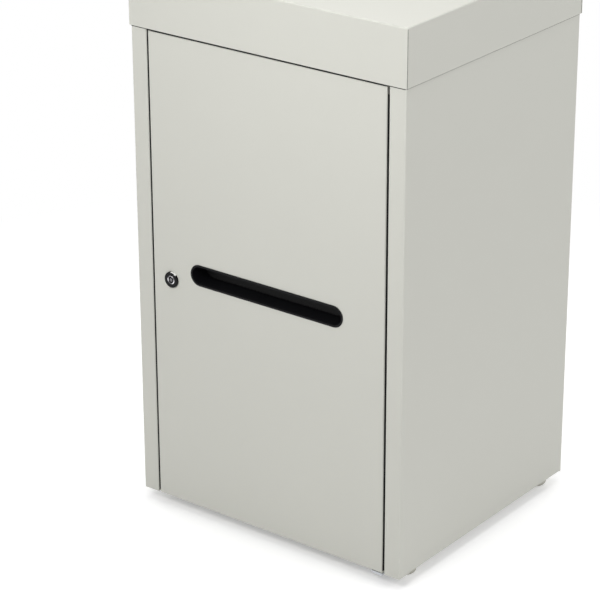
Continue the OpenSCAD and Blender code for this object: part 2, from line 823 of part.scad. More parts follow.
// A flanged bush; its flange is inside the door pan
module bush() {
    difference() {
        union() {
            translate([0, 0, -bush_proud]) cylinder(r = bush_r, h = bush_l, $fn = small_fn);
            translate([0, 0, door_sheet]) cylinder(r = bush_flange_r, h = 1.2, $fn = small_fn);
        }
        translate([0, 0, -1]) cylinder(r = bush_bore_r, h = bush_l + 2, $fn = small_fn);
    }
}
module lower_bush() { color(nylon) translate([pivot_x, pivot_y, body_z]) bush(); }
module upper_bush() {
    color(nylon) translate([pivot_x, pivot_y, door_top]) mirror([0, 0, 1]) bush();
}

// ---- Slot ----

module slot_liner() {
    sleeve_w = cutout_w - 2 * fit_gap;
    sleeve_h = cutout_h - 2 * fit_gap;
    color(black) translate([slot_x, 0, slot_z]) difference() {
        union() {
            along(front_y - liner_proud, front_y) stadium(slot_w, slot_h);
            along(front_y - trace, liner_end_y) stadium(sleeve_w, sleeve_h);
        }
        along(front_y - 2, liner_end_y + 1)
            stadium(sleeve_w - 2 * liner_wall, sleeve_h - 2 * liner_wall);
    }
}

module flap_hood() {
    half = sheet / 2;
    y_end = front_y + hood_d;
    color(black) difference() {
        union() {
            difference() {
                translate([slot_x, 0, 0]) along(skin_y, y_end) folded([
                    [-hood_half - half, hood_low_z], [-hood_half - half, hood_top_z + half],
                    [hood_half + half, hood_top_z + half], [hood_half + half, hood_low_z],
                ]);
                translate([slot_x - hood_lip_w / 2, skin_y - 1, hood_top_z - 1])
                    cube([hood_lip_w, bend_r + 1, 2 * bend_r]);
            }
            translate([slot_x, 0, 0]) across(-hood_lip_w / 2, hood_lip_w / 2) folded([
                [skin_y + half, hood_top_z + hood_lip_h], [skin_y + half, hood_top_z + half],
                [skin_y + bend_r + trace, hood_top_z + half],
            ]);
        }
        for (x = hood_stud_xs) translate([x, skin_y + sheet + 1, hood_stud_z]) rotate([90, 0, 0])
            cylinder(r = stud_r + fit_gap, h = sheet + 2, $fn = small_fn);
        translate([slot_x - hood_half - 5, rod_y, rod_z]) rotate([0, 90, 0])
            cylinder(r = rod_r + fit_gap, h = 2 * hood_half + 10, $fn = small_fn);
    }
}

module hood_nuts() {
    color(steel) for (x = hood_stud_xs)
        translate([x, skin_y + sheet, hood_stud_z]) rotate([-90, 0, 0])
            hex_nut(stud_nut_w, stud_nut_h, stud_r + fit_gap);
}

module flap_rod() {
    l = 2 * (hood_half + sheet + rod_over);
    color(steel) translate([slot_x - l / 2, rod_y, rod_z]) rotate([0, 90, 0])
        cylinder(r = rod_r, h = l, $fn = small_fn);
}

module rod_clips() {
    color(steel) for (s = [-1, 1])
        translate([slot_x + s * (hood_half + sheet + clip_t / 2 + 0.2), rod_y, rod_z])
            rotate([0, 90, 0]) difference() {
                cylinder(r = rod_r + clip_w, h = clip_t, center = true, $fn = small_fn);
                cylinder(r = rod_r + fit_gap, h = 2 * clip_t, center = true, $fn = small_fn);
                translate([rod_r + clip_w / 2, 0, 0])
                    cube([rod_r + clip_w, rod_r * 1.2, 2 * clip_t], center = true);
            }
}

// The flap hangs on the rod by three rolled knuckles and closes against the liner
module slot_flap() {
    gap_w = flap_half - 1.5 * knuckle_l - knuckle_gap;
    color(black) difference() {
        union() {
            translate([slot_x - flap_half, flap_face_y, rod_z - flap_l])
                cube([2 * flap_half, flap_t, flap_l]);
            for (s = [-1, 0, 1])
                translate([slot_x + s * (flap_half - knuckle_l / 2), rod_y, rod_z])
                    rotate([0, 90, 0])
                        cylinder(r = knuckle_r, h = knuckle_l, center = true, $fn = small_fn);
            // the foot of the flap is turned in, away from the paper
            translate([slot_x - flap_half, flap_face_y, rod_z - flap_l])
                cube([2 * flap_half, flap_foot, flap_t]);
        }
        translate([slot_x, rod_y, rod_z]) rotate([0, 90, 0])
            cylinder(r = rod_r + running, h = slot_w, center = true, $fn = small_fn);
        // the plate is cut away between the knuckles, clear of the rod
        for (s = [-1, 1])
            translate([slot_x + s * flap_half / 2, rod_y, rod_z]) rotate([90, 0, 0])
                linear_extrude(4 * knuckle_r, center = true)
                    square([gap_w, 4 * knuckle_r], center = true);
    }
}

// ---- Lock ----

module lock_housing() {
    dome = bezel_proud * 0.6;
    color(black) translate([lock_x, 0, lock_z]) difference() {
        union() {
            // domed bezel
            translate([0, front_y, 0]) rotate([90, 0, 0]) rotate_extrude($fn = face_fn)
                intersection() {
                    square([bezel_r, bezel_proud]);
                    union() {
                        square([bezel_r - bezel_edge, bezel_proud]);
                        square([bezel_r, bezel_proud - dome]);
                        translate([bezel_r - bezel_edge, bezel_proud - dome]) intersection() {
                            circle(r = bezel_edge, $fn = face_fn);
                            square([bezel_edge, dome]);
                        }
                    }
                }
            along(front_y - trace, barrel_end_y) barrel_outline(0);
        }
        along(front_y - bezel_proud - 1, barrel_end_y + 1) circle(r = plug_r + running, $fn = face_fn);
        // index notch in the bezel's edge
        rotate([0, -30, 0]) translate([bezel_r, front_y - bezel_proud, 0])
            cube([index_l, bezel_proud, index_w], center = true);
    }
}

module lock_nut() {
    color(steel) translate([lock_x, skin_y, lock_z]) rotate([-90, 30, 0]) difference() {
        cylinder(r = lock_nut_r, h = lock_nut_h, $fn = 6);
        translate([0, 0, -1]) cylinder(r = barrel_r + fit_gap, h = lock_nut_h + 2, $fn = face_fn);
    }
}

// The key cylinder, with its ring keyway in front and a square tail for the cam
module lock_plug() {
    face_y = front_y - bezel_proud + plug_sunk;
    color(steel) translate([lock_x, 0, lock_z]) difference() {
        union() {
            along(face_y, cam_y) circle(r = plug_r, $fn = face_fn);
            along(cam_y - 1, cam_y + cam_t) square(tail_w, center = true);
        }
        along(face_y - 1, face_y + key_depth) difference() {
            circle(r = plug_r - key_rim, $fn = face_fn);
            circle(r = plug_r - key_rim - key_w, $fn = face_fn);
        }
        along(face_y - 1, face_y + key_depth / 3)
            translate([0, plug_r - key_rim / 2]) square([key_rim, key_w], center = true);
        along(cam_y - cam_bolt_l, cam_y + cam_t + 1)
            circle(r = cam_bolt_r + fit_gap, $fn = small_fn);
    }
}

// At rest the cam hangs down, unlocked; it turns up to the left, behind the jamb
module lock_cam() {
    hub_r = cam_w / 2;
    tail_gap = 0.1;
    color(steel) translate([lock_x, 0, lock_z]) along(cam_y, cam_y + cam_t) difference() {
        union() {
            circle(r = hub_r, $fn = face_fn);
            translate([-cam_w / 2, -cam_l + hub_r]) square([cam_w, cam_l - hub_r]);
            translate([0, -cam_l + hub_r]) circle(r = hub_r, $fn = face_fn);
        }
        square(tail_w + tail_gap, center = true);
    }
}

module cam_bolt() {
    color(steel) translate([lock_x, cam_y + cam_t, lock_z]) rotate([-90, 0, 0]) {
        cylinder(r = washer_r, h = washer_t, $fn = small_fn);
        translate([0, 0, washer_t])
            cylinder(d = cam_bolt_head / cos(30), h = cam_bolt_head_h, $fn = 6);
        translate([0, 0, -cam_bolt_l])
            cylinder(r = cam_bolt_r, h = cam_bolt_l + 1, $fn = small_fn);
    }
}

// ---- Bin ----

module bin_outline(grow) {
    r = bin_corner + grow;
    for (sx = [-1, 1], y = [bin_y0 + bin_corner, bin_y1 - bin_corner])
        translate([sx * (bin_w / 2 - bin_corner), y]) circle(r = r, $fn = face_fn);
    translate([-bin_w / 2 - grow, bin_y0 + bin_corner])
        square([bin_w + 2 * grow, bin_l - 2 * bin_corner]);
    translate([-bin_w / 2 + bin_corner, bin_y0 - grow])
        square([bin_w - 2 * bin_corner, bin_l + 2 * grow]);
}

// The side view under the bin's edge, lowered by drop
module bin_side_view(drop) {
    y_a = bin_y0 + bin_l * slope_from;
    y_b = bin_y0 + bin_l * slope_to;
    polygon([
        [bin_y0 - 20, bin_z0 - 1], [bin_y1 + 20, bin_z0 - 1], [bin_y1 + 20, bin_high_z - drop],
        [y_b, bin_high_z - drop], [y_a, bin_low_z - drop], [bin_y0 - 20, bin_low_z - drop],
    ]);
}

module inner_bin() {
    color(bin_grey) difference() {
        union() {
            intersection() {
                upright(bin_z0, bin_high_z) bin_outline(0);
                across(-bin_w, bin_w) bin_side_view(0);
            }
            // the turned-out rim follows the edge
            intersection() {
                upright(bin_low_z - 3 * bin_rim_h, bin_high_z) bin_outline(bin_rim);
                across(-bin_w, bin_w) difference() {
                    bin_side_view(0);
                    bin_side_view(bin_rim_h);
                }
            }
        }
        upright(bin_z0 + bin_wall, bin_high_z + 1) bin_outline(-bin_wall);
        // the rim is hollow underneath
        intersection() {
            upright(bin_low_z - 4 * bin_rim_h, bin_high_z) difference() {
                bin_outline(bin_rim - bin_wall);
                bin_outline(0);
            }
            across(-bin_w, bin_w) bin_side_view(bin_wall);
        }
        // hand holes in the sides
        for (s = [-1, 1]) translate([s * bin_w / 2, bin_y1 - bin_l * hand_from_back, bin_high_z - hand_down])
            rotate([90, 0, 90]) translate([0, 0, -20]) linear_extrude(40) stadium(hand_w, hand_h);
    }
}

// ---- Assembly ----

left_side_panel();
right_side_panel();
back_panel();
base_pan();
header_rail();
top_cap();
cap_channel();
cap_screws();
cap_rivets();
back_rivets();
left_bin_guide();
right_bin_guide();
front_left_foot();
front_right_foot();
rear_left_foot();
rear_right_foot();
foot_screws();
foot_nuts();
upper_pivot_plate();
lower_pivot_plate();
upper_pivot_pin();
lower_pivot_pin();
pivot_screws();
lock_strike();
strike_rivets();
door_bumpers();
door_panel();
upper_stiffener();
lower_stiffener();
upper_bush();
lower_bush();
slot_liner();
flap_hood();
hood_nuts();
flap_rod();
rod_clips();
lock_housing();
lock_nut();
lock_plug();
lock_cam();
cam_bolt();
slot_flap();
inner_bin();
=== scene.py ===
"""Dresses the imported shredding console: powder coat, moulded parts, fasteners, lock, light and camera.

Everything is in metres, in the part's own frame: +Z up, the door faces -Y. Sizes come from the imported
frame's boxes, or are named values of the finishes and small parts.
"""

import json
import logging
import math
from collections.abc import Sequence
from dataclasses import dataclass
from enum import Enum

import bmesh
import bpy
from mathutils import Matrix, Vector
from mathutils.bvhtree import BVHTree


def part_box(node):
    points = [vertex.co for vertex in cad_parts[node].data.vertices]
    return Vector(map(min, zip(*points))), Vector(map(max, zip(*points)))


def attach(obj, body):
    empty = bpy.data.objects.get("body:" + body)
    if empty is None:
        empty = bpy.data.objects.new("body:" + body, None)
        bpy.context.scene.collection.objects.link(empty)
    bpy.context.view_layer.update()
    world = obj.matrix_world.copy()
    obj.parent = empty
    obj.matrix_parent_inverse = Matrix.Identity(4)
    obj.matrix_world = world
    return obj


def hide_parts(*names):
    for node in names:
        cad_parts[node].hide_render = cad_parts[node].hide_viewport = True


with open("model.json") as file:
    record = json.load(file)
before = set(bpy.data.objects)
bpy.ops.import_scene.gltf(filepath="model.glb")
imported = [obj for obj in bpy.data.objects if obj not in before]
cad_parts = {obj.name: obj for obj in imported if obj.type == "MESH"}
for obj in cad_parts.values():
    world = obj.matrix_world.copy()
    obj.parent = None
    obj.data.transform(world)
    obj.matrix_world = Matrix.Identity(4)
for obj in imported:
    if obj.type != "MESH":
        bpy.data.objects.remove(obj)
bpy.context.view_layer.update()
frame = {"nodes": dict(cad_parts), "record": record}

LOG = logging.getLogger("console")
MM = 0.001
QUARTER = math.pi / 2
UP = Vector((0.0, 0.0, 1.0))
BACKWARDS = Vector((0.0, 1.0, 0.0))
FORWARDS = Vector((0.0, -1.0, 0.0))
LEFT_RIGHT = ((-1, "left"), (1, "right"))

# Sockets that are known by number, since a node's kinds of data share their names.
MIX_ENDS, MIX_RESULT = (6, 7), 2
RANDOM_TOP, RANDOM_RESULT = 3, 1

Colour = tuple[float, float, float]
Pair = tuple[float, float]
Piece = bpy.types.Object
Shape = bmesh.types.BMesh
Socket = bpy.types.NodeSocket
Inputs = dict[str | int, object]


# ---------------------------------------------------------------- node trees


def srgb(*channels: int) -> Colour:
    """Turns a display colour, with channels from 0 to 255, into linear light by the sRGB curve."""
    shares = (channel / 255 for channel in channels)
    return tuple(s / 12.92 if s <= 0.04045 else ((s + 0.055) / 1.055) ** 2.4 for s in shares)


def shade(colour: Colour, factor: float) -> Colour:
    """Makes a colour lighter or darker."""
    return tuple(channel * factor for channel in colour)


def spread(colour: Colour, share: float) -> tuple[Colour, Colour]:
    """Gives a colour made darker by a share, and lighter by it."""
    return shade(colour, 1 - share), shade(colour, 1 + share)


@dataclass(frozen=True)
class Value:
    """A number that changes over a surface, as a socket that takes Python's operators."""

    tree: "Tree"
    socket: Socket

    def _maths(self, operation: str, first: "Value | float", second: "Value | float" = 0.0) -> "Value":
        """Adds one Math node and returns its result."""
        return self.tree.value("ShaderNodeMath", 0, {0: first, 1: second}, operation=operation)

    def __add__(self, other: "Value | float") -> "Value":
        """Adds a number or another value."""
        return self._maths("ADD", self, other)

    def __sub__(self, other: "Value | float") -> "Value":
        """Takes a number or another value away."""
        return self._maths("SUBTRACT", self, other)

    def __rsub__(self, other: float) -> "Value":
        """Takes this value away from a number."""
        return self._maths("SUBTRACT", other, self)

    def __mul__(self, other: "Value | float") -> "Value":
        """Multiplies by a number or another value."""
        return self._maths("MULTIPLY", self, other)

    __radd__ = __add__
    __rmul__ = __mul__

    def wave(self) -> "Value":
        """Returns the sine of this value."""
        return self._maths("SINE", self)

    def turn(self, up: "Value") -> "Value":
        """Returns the angle of the point (this value, up), from -pi to pi."""
        return self._maths("ARCTAN2", up, self)

    def most(self, other: "Value | float") -> "Value":
        """Returns the larger of two values."""
        return self._maths("MAXIMUM", self, other)

    def held(self) -> "Value":
        """Keeps this value from 0 to 1."""
        return self._maths("MINIMUM", self.most(0.0), 1.0)

    def rise(self, start: float, length: float) -> "Value":
        """Returns a ramp that leaves 0 at start and reaches 1 after length, which may be negative."""
        return ((self - start) * (1 / length)).held()


class Tree:
    """A node tree, with one method that adds any node."""

    def __init__(self, tree: bpy.types.NodeTree) -> None:
        """Keeps the tree at hand."""
        self.tree = tree

    def node(self, kind: str, inputs: Inputs | None = None, **settings: str) -> bpy.types.Node:
        """Adds a node, sets it up and feeds its sockets.

        Args:
            kind: The node's type.
            inputs: Numbers, colours, sockets or Value objects, by socket name or number.
            settings: The node's attributes, which are set first.

        Returns:
            The node.
        """
        node = self.tree.nodes.new(kind)
        for name, setting in settings.items():
            setattr(node, name, setting)
        for name, fed in (inputs or {}).items():
            start = fed.socket if isinstance(fed, Value) else fed
            if isinstance(start, Socket):
                self.tree.links.new(start, node.inputs[name])
            else:
                node.inputs[name].default_value = start
        return node

    def socket(self, kind: str, output: str | int, inputs: Inputs | None = None, **settings: str) -> Socket:
        """Adds a node and returns one of its outputs."""
        return self.node(kind, inputs, **settings).outputs[output]

    def value(self, kind: str, output: str | int, inputs: Inputs, **settings: str) -> Value:
        """Adds a node and wraps one of its outputs."""
        return Value(self, self.socket(kind, output, inputs, **settings))


class Graph(Tree):
    """The node tree of one material or world, with the few things that every finish needs."""

    def __init__(self, owner: bpy.types.Material | bpy.types.World) -> None:
        """Empties the owner's tree.

        Args:
            owner: The material or the world.
        """
        owner.use_nodes = True
        owner.node_tree.nodes.clear()
        super().__init__(owner.node_tree)

    def place(self, centre: Vector | None = None, stretch: Vector | None = None) -> Socket:
        """Gives the surface's own coordinates in metres.

        Args:
            centre: The point that becomes the pattern's zero.
            stretch: How much the pattern is drawn out along each axis.

        Returns:
            A vector socket.
        """
        here = self.socket("ShaderNodeTexCoord", "Object")
        if centre is None and stretch is None:
            return here
        scale = Vector(1 / drawn for drawn in stretch or (1, 1, 1))
        shift = -(centre or Vector()) * scale
        fed = {"Vector": here, "Location": shift, "Scale": scale}
        return self.socket("ShaderNodeMapping", "Vector", fed, vector_type="POINT")

    def length(self, vector: Socket) -> Value:
        """Gives a vector's length."""
        return self.value("ShaderNodeVectorMath", "Value", {0: vector}, operation="LENGTH")

    def noise(self, size: float, detail: float, rough: float, where: Socket | None = None) -> Value:
        """Gives clouds from 0 to 1 of a size in metres, with finer layers of some number and strength."""
        fed = {"Vector": where or self.place(), "Scale": 1 / size, "Detail": detail, "Roughness": rough}
        return self.value("ShaderNodeTexNoise", "Fac", fed, noise_dimensions="3D")

    def cells(self, size: float) -> Value:
        """Gives the distance from the middle of rounded cells of a size in metres."""
        fed = {"Vector": self.place(), "Scale": 1 / size, "Smoothness": 0.6}
        return self.value("ShaderNodeTexVoronoi", "Distance", fed, feature="SMOOTH_F1")

    def between(self, low: Colour | Socket, high: Colour | Socket, share: Value) -> Socket:
        """Mixes two colours.

        Args:
            low: The colour where share is 0.
            high: The colour where it is 1.
            share: How far the mix has gone from the one to the other.

        Returns:
            The mixed colour.
        """
        ends = (end if isinstance(end, Socket) else (*end, 1.0) for end in (low, high))
        fed = {"Factor": share} | dict(zip(MIX_ENDS, ends))
        return self.socket("ShaderNodeMix", MIX_RESULT, fed, data_type="RGBA")

    def sight(self) -> Value:
        """Tells the rays that show the surroundings, in glass and metal too.

        Returns:
            1 on those rays, and 0 on the others.
        """
        path = self.node("ShaderNodeLightPath").outputs
        camera, glossy, through = (
            Value(self, path[f"Is {name} Ray"]) for name in ("Camera", "Glossy", "Transmission")
        )
        return camera.most(glossy).most(through)

    def blend(self, first: Socket, second: Socket, share: Value) -> Socket:
        """Mixes two shaders, the first where share is 0 and the second where it is 1."""
        return self.socket("ShaderNodeMixShader", 0, {0: share, 1: first, 2: second})

    def finish(
        self, colour: Socket, roughness: Value, height: Value, depth: float, shine: float = 0.5,
        metallic: float = 0.0,
    ) -> None:
        """Closes the tree with one Principled shader.

        Args:
            colour: The base colour.
            roughness: The roughness.
            height: The relief, from 0 to 1.
            depth: The real depth of the relief, in metres.
            shine: The specular level.
            metallic: 1 for bare metal, 0 for all else.
        """
        bump = self.socket("ShaderNodeBump", "Normal", {"Height": height, "Distance": depth, "Strength": 1.0})
        fed = {"Base Color": colour, "Roughness": roughness, "Normal": bump}
        fed |= {"Specular IOR Level": shine, "Metallic": metallic}
        self.node("ShaderNodeOutputMaterial", {"Surface": self.socket("ShaderNodeBsdfPrincipled", 0, fed)})


# ---------------------------------------------------------------- finishes


@dataclass(frozen=True)
class PowderCoat:
    """Baked powder paint on sheet steel: a fine orange peel over a satin film."""

    colour: Colour
    roughness: float = 0.43
    peel: float = 1.1 * MM
    peel_depth: float = 0.012 * MM
    peel_share: float = 0.85
    peel_dulls: float = 0.04
    cloud: float = 90 * MM
    cloud_share: float = 0.75
    cloud_dulls: float = 0.03
    speck: float = 0.28 * MM
    mottle: float = 0.012
    shine: float = 0.45

    def dress(self, graph: Graph) -> None:
        """Builds the paint.

        Args:
            graph: The material's graph.
        """
        peel = graph.noise(self.peel, detail=1.5, rough=0.4)
        cloud = graph.noise(self.cloud, detail=2.0, rough=0.5)
        speck = graph.noise(self.speck, detail=1.0, rough=0.5)
        tone = cloud * self.cloud_share + speck * (1 - self.cloud_share)
        colour = graph.between(*spread(self.colour, self.mottle), tone)
        roughness = self.roughness + peel * self.peel_dulls + cloud * self.cloud_dulls
        relief = peel * self.peel_share + speck * (1 - self.peel_share)
        graph.finish(colour, roughness, relief, self.peel_depth, self.shine)


@dataclass(frozen=True)
class Moulded:
    """A moulded plastic with a spark-eroded grain and slight flow marks."""

    colour: Colour
    roughness: float = 0.45
    grain: float = 0.5 * MM
    grain_depth: float = 0.03 * MM
    grain_share: float = 0.7
    grain_dulls: float = 0.05
    fineness: float = 0.4
    stream: float = 35 * MM
    stretch: float = 3.0
    flow: float = 0.06
    flow_dulls: float = 0.06
    shine: float = 0.5

    def dress(self, graph: Graph) -> None:
        """Builds the plastic.

        Args:
            graph: The material's graph.
        """
        grain = graph.cells(self.grain)
        fine = graph.noise(self.grain * self.fineness, detail=2.0, rough=0.6)
        drawn = graph.place(stretch=Vector((1, 1, self.stretch)))
        flow = graph.noise(self.stream, detail=3.0, rough=0.55, where=drawn)
        colour = graph.between(*spread(self.colour, self.flow), flow)
        roughness = self.roughness + flow * self.flow_dulls + grain * self.grain_dulls
        relief = grain * self.grain_share + fine * (1 - self.grain_share)
        graph.finish(colour, roughness, relief, self.grain_depth, self.shine)


@dataclass(frozen=True)
class Plated:
    """Bare or plated metal, with the drawing lines of its strip or wire."""

    colour: Colour
    tint: Colour
    roughness: float = 0.26
    line: float = 0.25 * MM
    line_depth: float = 0.004 * MM
    line_dulls: float = 0.1
    stretch: float = 30.0
    cloud: float = 9 * MM
    cloud_dulls: float = 0.07
    tint_from: float = 0.1875
    tint_over: float = 0.625

    def dress(self, graph: Graph) -> None:
        """Builds the metal.

        Args:
            graph: The material's graph.
        """
        drawn = graph.place(stretch=Vector((1, 1, self.stretch)))
        lines = graph.noise(self.line, detail=2.0, rough=0.6, where=drawn)
        cloud = graph.noise(self.cloud, detail=3.0, rough=0.6)
        colour = graph.between(self.colour, self.tint, cloud.rise(self.tint_from, self.tint_over))
        roughness = self.roughness + lines * self.line_dulls + cloud * self.cloud_dulls
        graph.finish(colour, roughness, lines, self.line_depth, metallic=1.0)


@dataclass(frozen=True)
class Polar:
    """A surface point's place about the lock's axis."""

    radius: Value
    angle: Value
    depth: Value

    def near(self, at: float, half: float) -> Value:
        """Gives a smooth hump: 1 at an angle in degrees, and 0 where it is half away or more."""
        limit = math.cos(math.radians(half))
        return (self.angle + (QUARTER - math.radians(at))).wave().rise(limit, 1 - limit)


@dataclass(frozen=True)
class Turned:
    """A polished face with a lathe tool's rings round the lock's axis, and a second colour of painted light
    and an index.
    """

    colour: Colour
    centre: Vector
    shade_and_index_colour: Colour
    roughness: float = 0.13
    metallic: float = 1.0
    ring: float = 0.18 * MM
    ring_depth: float = 0.0035 * MM
    ring_dulls: float = 0.03
    haze: float = 1.2 * MM
    haze_dulls: float = 0.06
    haze_tone: float = 0.9
    shine: float = 0.5

    def dress(self, graph: Graph) -> None:
        """Builds the turned surface.

        Args:
            graph: The material's graph.
        """
        here = graph.place(centre=self.centre)
        flat = graph.socket("ShaderNodeVectorMath", 0, {0: here, 1: (1.0, 0.0, 1.0)}, operation="MULTIPLY")
        x, y, z = (Value(graph, part) for part in graph.node("ShaderNodeSeparateXYZ", {0: here}).outputs)
        spot = Polar(graph.length(flat), x.turn(z), y)
        rings = (spot.radius * (math.tau / self.ring)).wave() * 0.5 + 0.5
        haze = graph.noise(self.haze, detail=3.0, rough=0.6)
        plain = graph.between(shade(self.colour, self.haze_tone), self.colour, haze)
        colour = graph.between(plain, self.shade_and_index_colour, self._shade_and_index_share(spot))
        roughness = self.roughness + rings * self.ring_dulls + haze * self.haze_dulls
        graph.finish(colour, roughness, rings, self.ring_depth, self.shine, self.metallic)

    def _shade_and_index_share(self, spot: Polar) -> Value:
        """Gives the share of the second colour at a point."""
        raise NotImplementedError


@dataclass(frozen=True)
class KeyFace(Turned):
    """The key cylinder: painted shade down in its ring keyway, a dark post, and painted reflections round its
    rim.
    """

    keyway_r: float = 4.2 * MM
    post_r: float = 2.6 * MM
    mouth: float = 0.15 * MM
    fade: float = 0.6 * MM
    blur: float = 0.1 * MM
    post_share: float = 0.8
    # How dark the rim's painted reflection is, and the painted highlights it spares, as angle and half width.
    rim_shade_share: float = 0.85
    glint_spots: tuple[Pair, ...] = ((78.0, 40.0), (184.0, 38.0), (330.0, 58.0))

    def _shade_and_index_share(self, spot: Polar) -> Value:
        """Darkens the post, the keyway from its mouth down as painted shade, and the rim as a painted
        reflection.

        Args:
            spot: The point.

        Returns:
            The share of the dark.
        """
        keyway = spot.depth.rise(self.mouth, self.fade) * spot.radius.rise(self.keyway_r, -self.blur)
        post = spot.radius.rise(self.post_r, -self.blur) * self.post_share
        painted_glint = 0.0
        # Painted highlights: the bright spots round the rim, spared from its painted dark reflection.
        for at, half in self.glint_spots:
            painted_glint = spot.near(at, half).most(painted_glint)
        return (keyway + post).most((1.0 - painted_glint) * self.rim_shade_share).held()


@dataclass(frozen=True)
class IndexGlintBezel(Turned):
    """The lock's bezel, with a white arc near its edge at the upper right: an index and a painted highlight
    in one.
    """

    inner_r: float = 9.8 * MM
    outer_r: float = 11.0 * MM
    blur: float = 0.08 * MM
    # The white arc sits where the bezel's edge catches the light, so it is partly a painted highlight.
    index_glint_at: float = 70.0
    index_glint_half: float = 24.0
    end_blur: float = 1 / 12

    def _shade_and_index_share(self, spot: Polar) -> Value:
        """Paints the white arc, index and painted highlight in one."""
        swept = spot.near(self.index_glint_at, self.index_glint_half).rise(0.0, self.end_blur)
        return swept * spot.radius.rise(self.inner_r, self.blur) * spot.radius.rise(self.outer_r, -self.blur)


class Finish(Enum):
    """The finishes that the console's pieces share."""

    PAINT = "paint"
    BLACK_PAINT = "black_paint"
    ZINC = "zinc"
    CHROME = "chrome"
    BLACK_PLASTIC = "black_plastic"
    LOCK_BLACK = "lock_black"
    NYLON = "nylon"
    FOOT_PLASTIC = "foot_plastic"
    RUBBER = "rubber"
    SEALANT = "sealant"
    BIN_PLASTIC = "bin_plastic"

    @property
    def slot(self) -> str:
        """The record's material slot. The seams' painted shade shares the rubber's."""
        return Finish.RUBBER.value if self is Finish.SEALANT else self.value


Coating = PowderCoat | Moulded | Plated | Turned


class Palette:
    """Makes each finish once and hands it out."""

    def __init__(self, lock_face: Vector) -> None:
        """Sets the finishes up.

        Args:
            lock_face: The middle of the key cylinder's face.
        """
        self._coatings: dict[Finish, Coating] = {
            Finish.PAINT: PowderCoat(srgb(206, 206, 198)),
            Finish.BLACK_PAINT: PowderCoat(
                srgb(30, 30, 30), roughness=0.57, peel=0.8 * MM, peel_depth=0.03 * MM, mottle=0.15
            ),
            Finish.ZINC: Plated(srgb(196, 198, 200), srgb(180, 184, 190)),
            # The key face's dark colour is painted shade and painted reflection, with painted highlights on
            # the rim.
            Finish.CHROME: KeyFace(srgb(252, 251, 255), lock_face, shade_and_index_colour=(0.012, 0.012, 0.014)),
            Finish.BLACK_PLASTIC: Moulded(srgb(18, 18, 20), flow=0.12, shine=0.15),
            # The bezel's white arc is partly a painted highlight.
            Finish.LOCK_BLACK: IndexGlintBezel(
                srgb(10, 10, 13), lock_face, shade_and_index_colour=(0.8, 0.8, 0.78), roughness=0.31, metallic=0.0, shine=0.18
            ),
            Finish.NYLON: Moulded(srgb(226, 224, 214), roughness=0.4, flow=0.02),
            Finish.FOOT_PLASTIC: Moulded(srgb(192, 191, 180), flow=0.04),
            # Real rubber on the bumpers. On the gap strips and the cap's strip, it is black that stands for
            # shade.
            Finish.RUBBER: Moulded(srgb(34, 34, 34), roughness=0.75, grain=0.9 * MM, flow=0.1),
            # A mid grey that stands for the shade in the cap's open corner seams.
            Finish.SEALANT: Moulded(srgb(92, 92, 88), roughness=0.55, grain=1.1 * MM),
            Finish.BIN_PLASTIC: Moulded(srgb(62, 65, 68), grain=0.7 * MM, grain_depth=0.05 * MM),
        }
        self._made: dict[Finish, bpy.types.Material] = {}

    def __getitem__(self, finish: Finish) -> bpy.types.Material:
        """Gives a finish's material.

        Args:
            finish: The finish.

        Returns:
            The material, which is made when it is first asked for.
        """
        if finish not in self._made:
            self._made[finish] = bpy.data.materials.new(finish.value)
            self._coatings[finish].dress(Graph(self._made[finish]))
        return self._made[finish]


# ---------------------------------------------------------------- meshes


def new_object(name: str, data: bpy.types.ID) -> Piece:
    """Puts a mesh, a light or a camera in the scene.

    Args:
        name: The object's name.
        data: What the object shows.

    Returns:
        The object, at the origin.
    """
    made = bpy.data.objects.new(name, data)
    bpy.context.scene.collection.objects.link(made)
    return made


def to_object(name: str, shape: Shape) -> Piece:
    """Turns a built shape into an object and frees the shape.

    Args:
        name: The object's name.
        shape: The shape.

    Returns:
        The object.
    """
    mesh = bpy.data.meshes.new(name)
    shape.to_mesh(mesh)
    shape.free()
    return new_object(name, mesh)


def discard(used: Piece) -> None:
    """Deletes a mesh, and the object that shows it with it."""
    bpy.data.meshes.remove(used.data)


def apply_modifiers(piece: Piece) -> None:
    """Makes what the modifiers show the piece's own plain mesh.

    Args:
        piece: The piece.
    """
    graph = bpy.context.evaluated_depsgraph_get()
    graph.update()
    shown = piece.evaluated_get(graph)
    mesh = bpy.data.meshes.new_from_object(shown, preserve_all_data_layers=True, depsgraph=graph)
    piece.modifiers.clear()
    old, piece.data = piece.data, mesh
    bpy.data.meshes.remove(old)
    mesh.name = piece.name


def round_edges(piece: Piece, width: float, angle: float = 32.0, segments: int = 2) -> None:
    """Rounds a piece's sharp edges and smooths its curved faces.

    Where several short edges meet, the rounding can throw a corner out of the piece. Such a corner goes
    back to the nearest point of the sharp shape.

    Args:
        piece: The piece.
        width: The width of the rounding, in metres.
        angle: Edges that bend by more than this, in degrees, are rounded.
        segments: Facets across the rounding.
    """
    mesh = piece.data
    sharp = BVHTree.FromPolygons(
        [vert.co.copy() for vert in mesh.vertices], [tuple(face.vertices) for face in mesh.polygons]
    )
    bevel = piece.modifiers.new("edges", "BEVEL")
    bevel.width = width
    bevel.segments = segments
    bevel.limit_method = "ANGLE"
    bevel.angle_limit = math.radians(angle)
    bevel.use_clamp_overlap = False
    apply_modifiers(piece)
    thrown = width * 0.7
    for vert in piece.data.vertices:
        spot, _, _, distance = sharp.find_nearest(vert.co)
        if distance > thrown:
            vert.co = spot
    for face in piece.data.polygons:
        face.use_smooth = True
    flat = piece.modifiers.new("flat faces", "WEIGHTED_NORMAL")
    flat.mode = "FACE_AREA"
    flat.weight = 100
    apply_modifiers(piece)


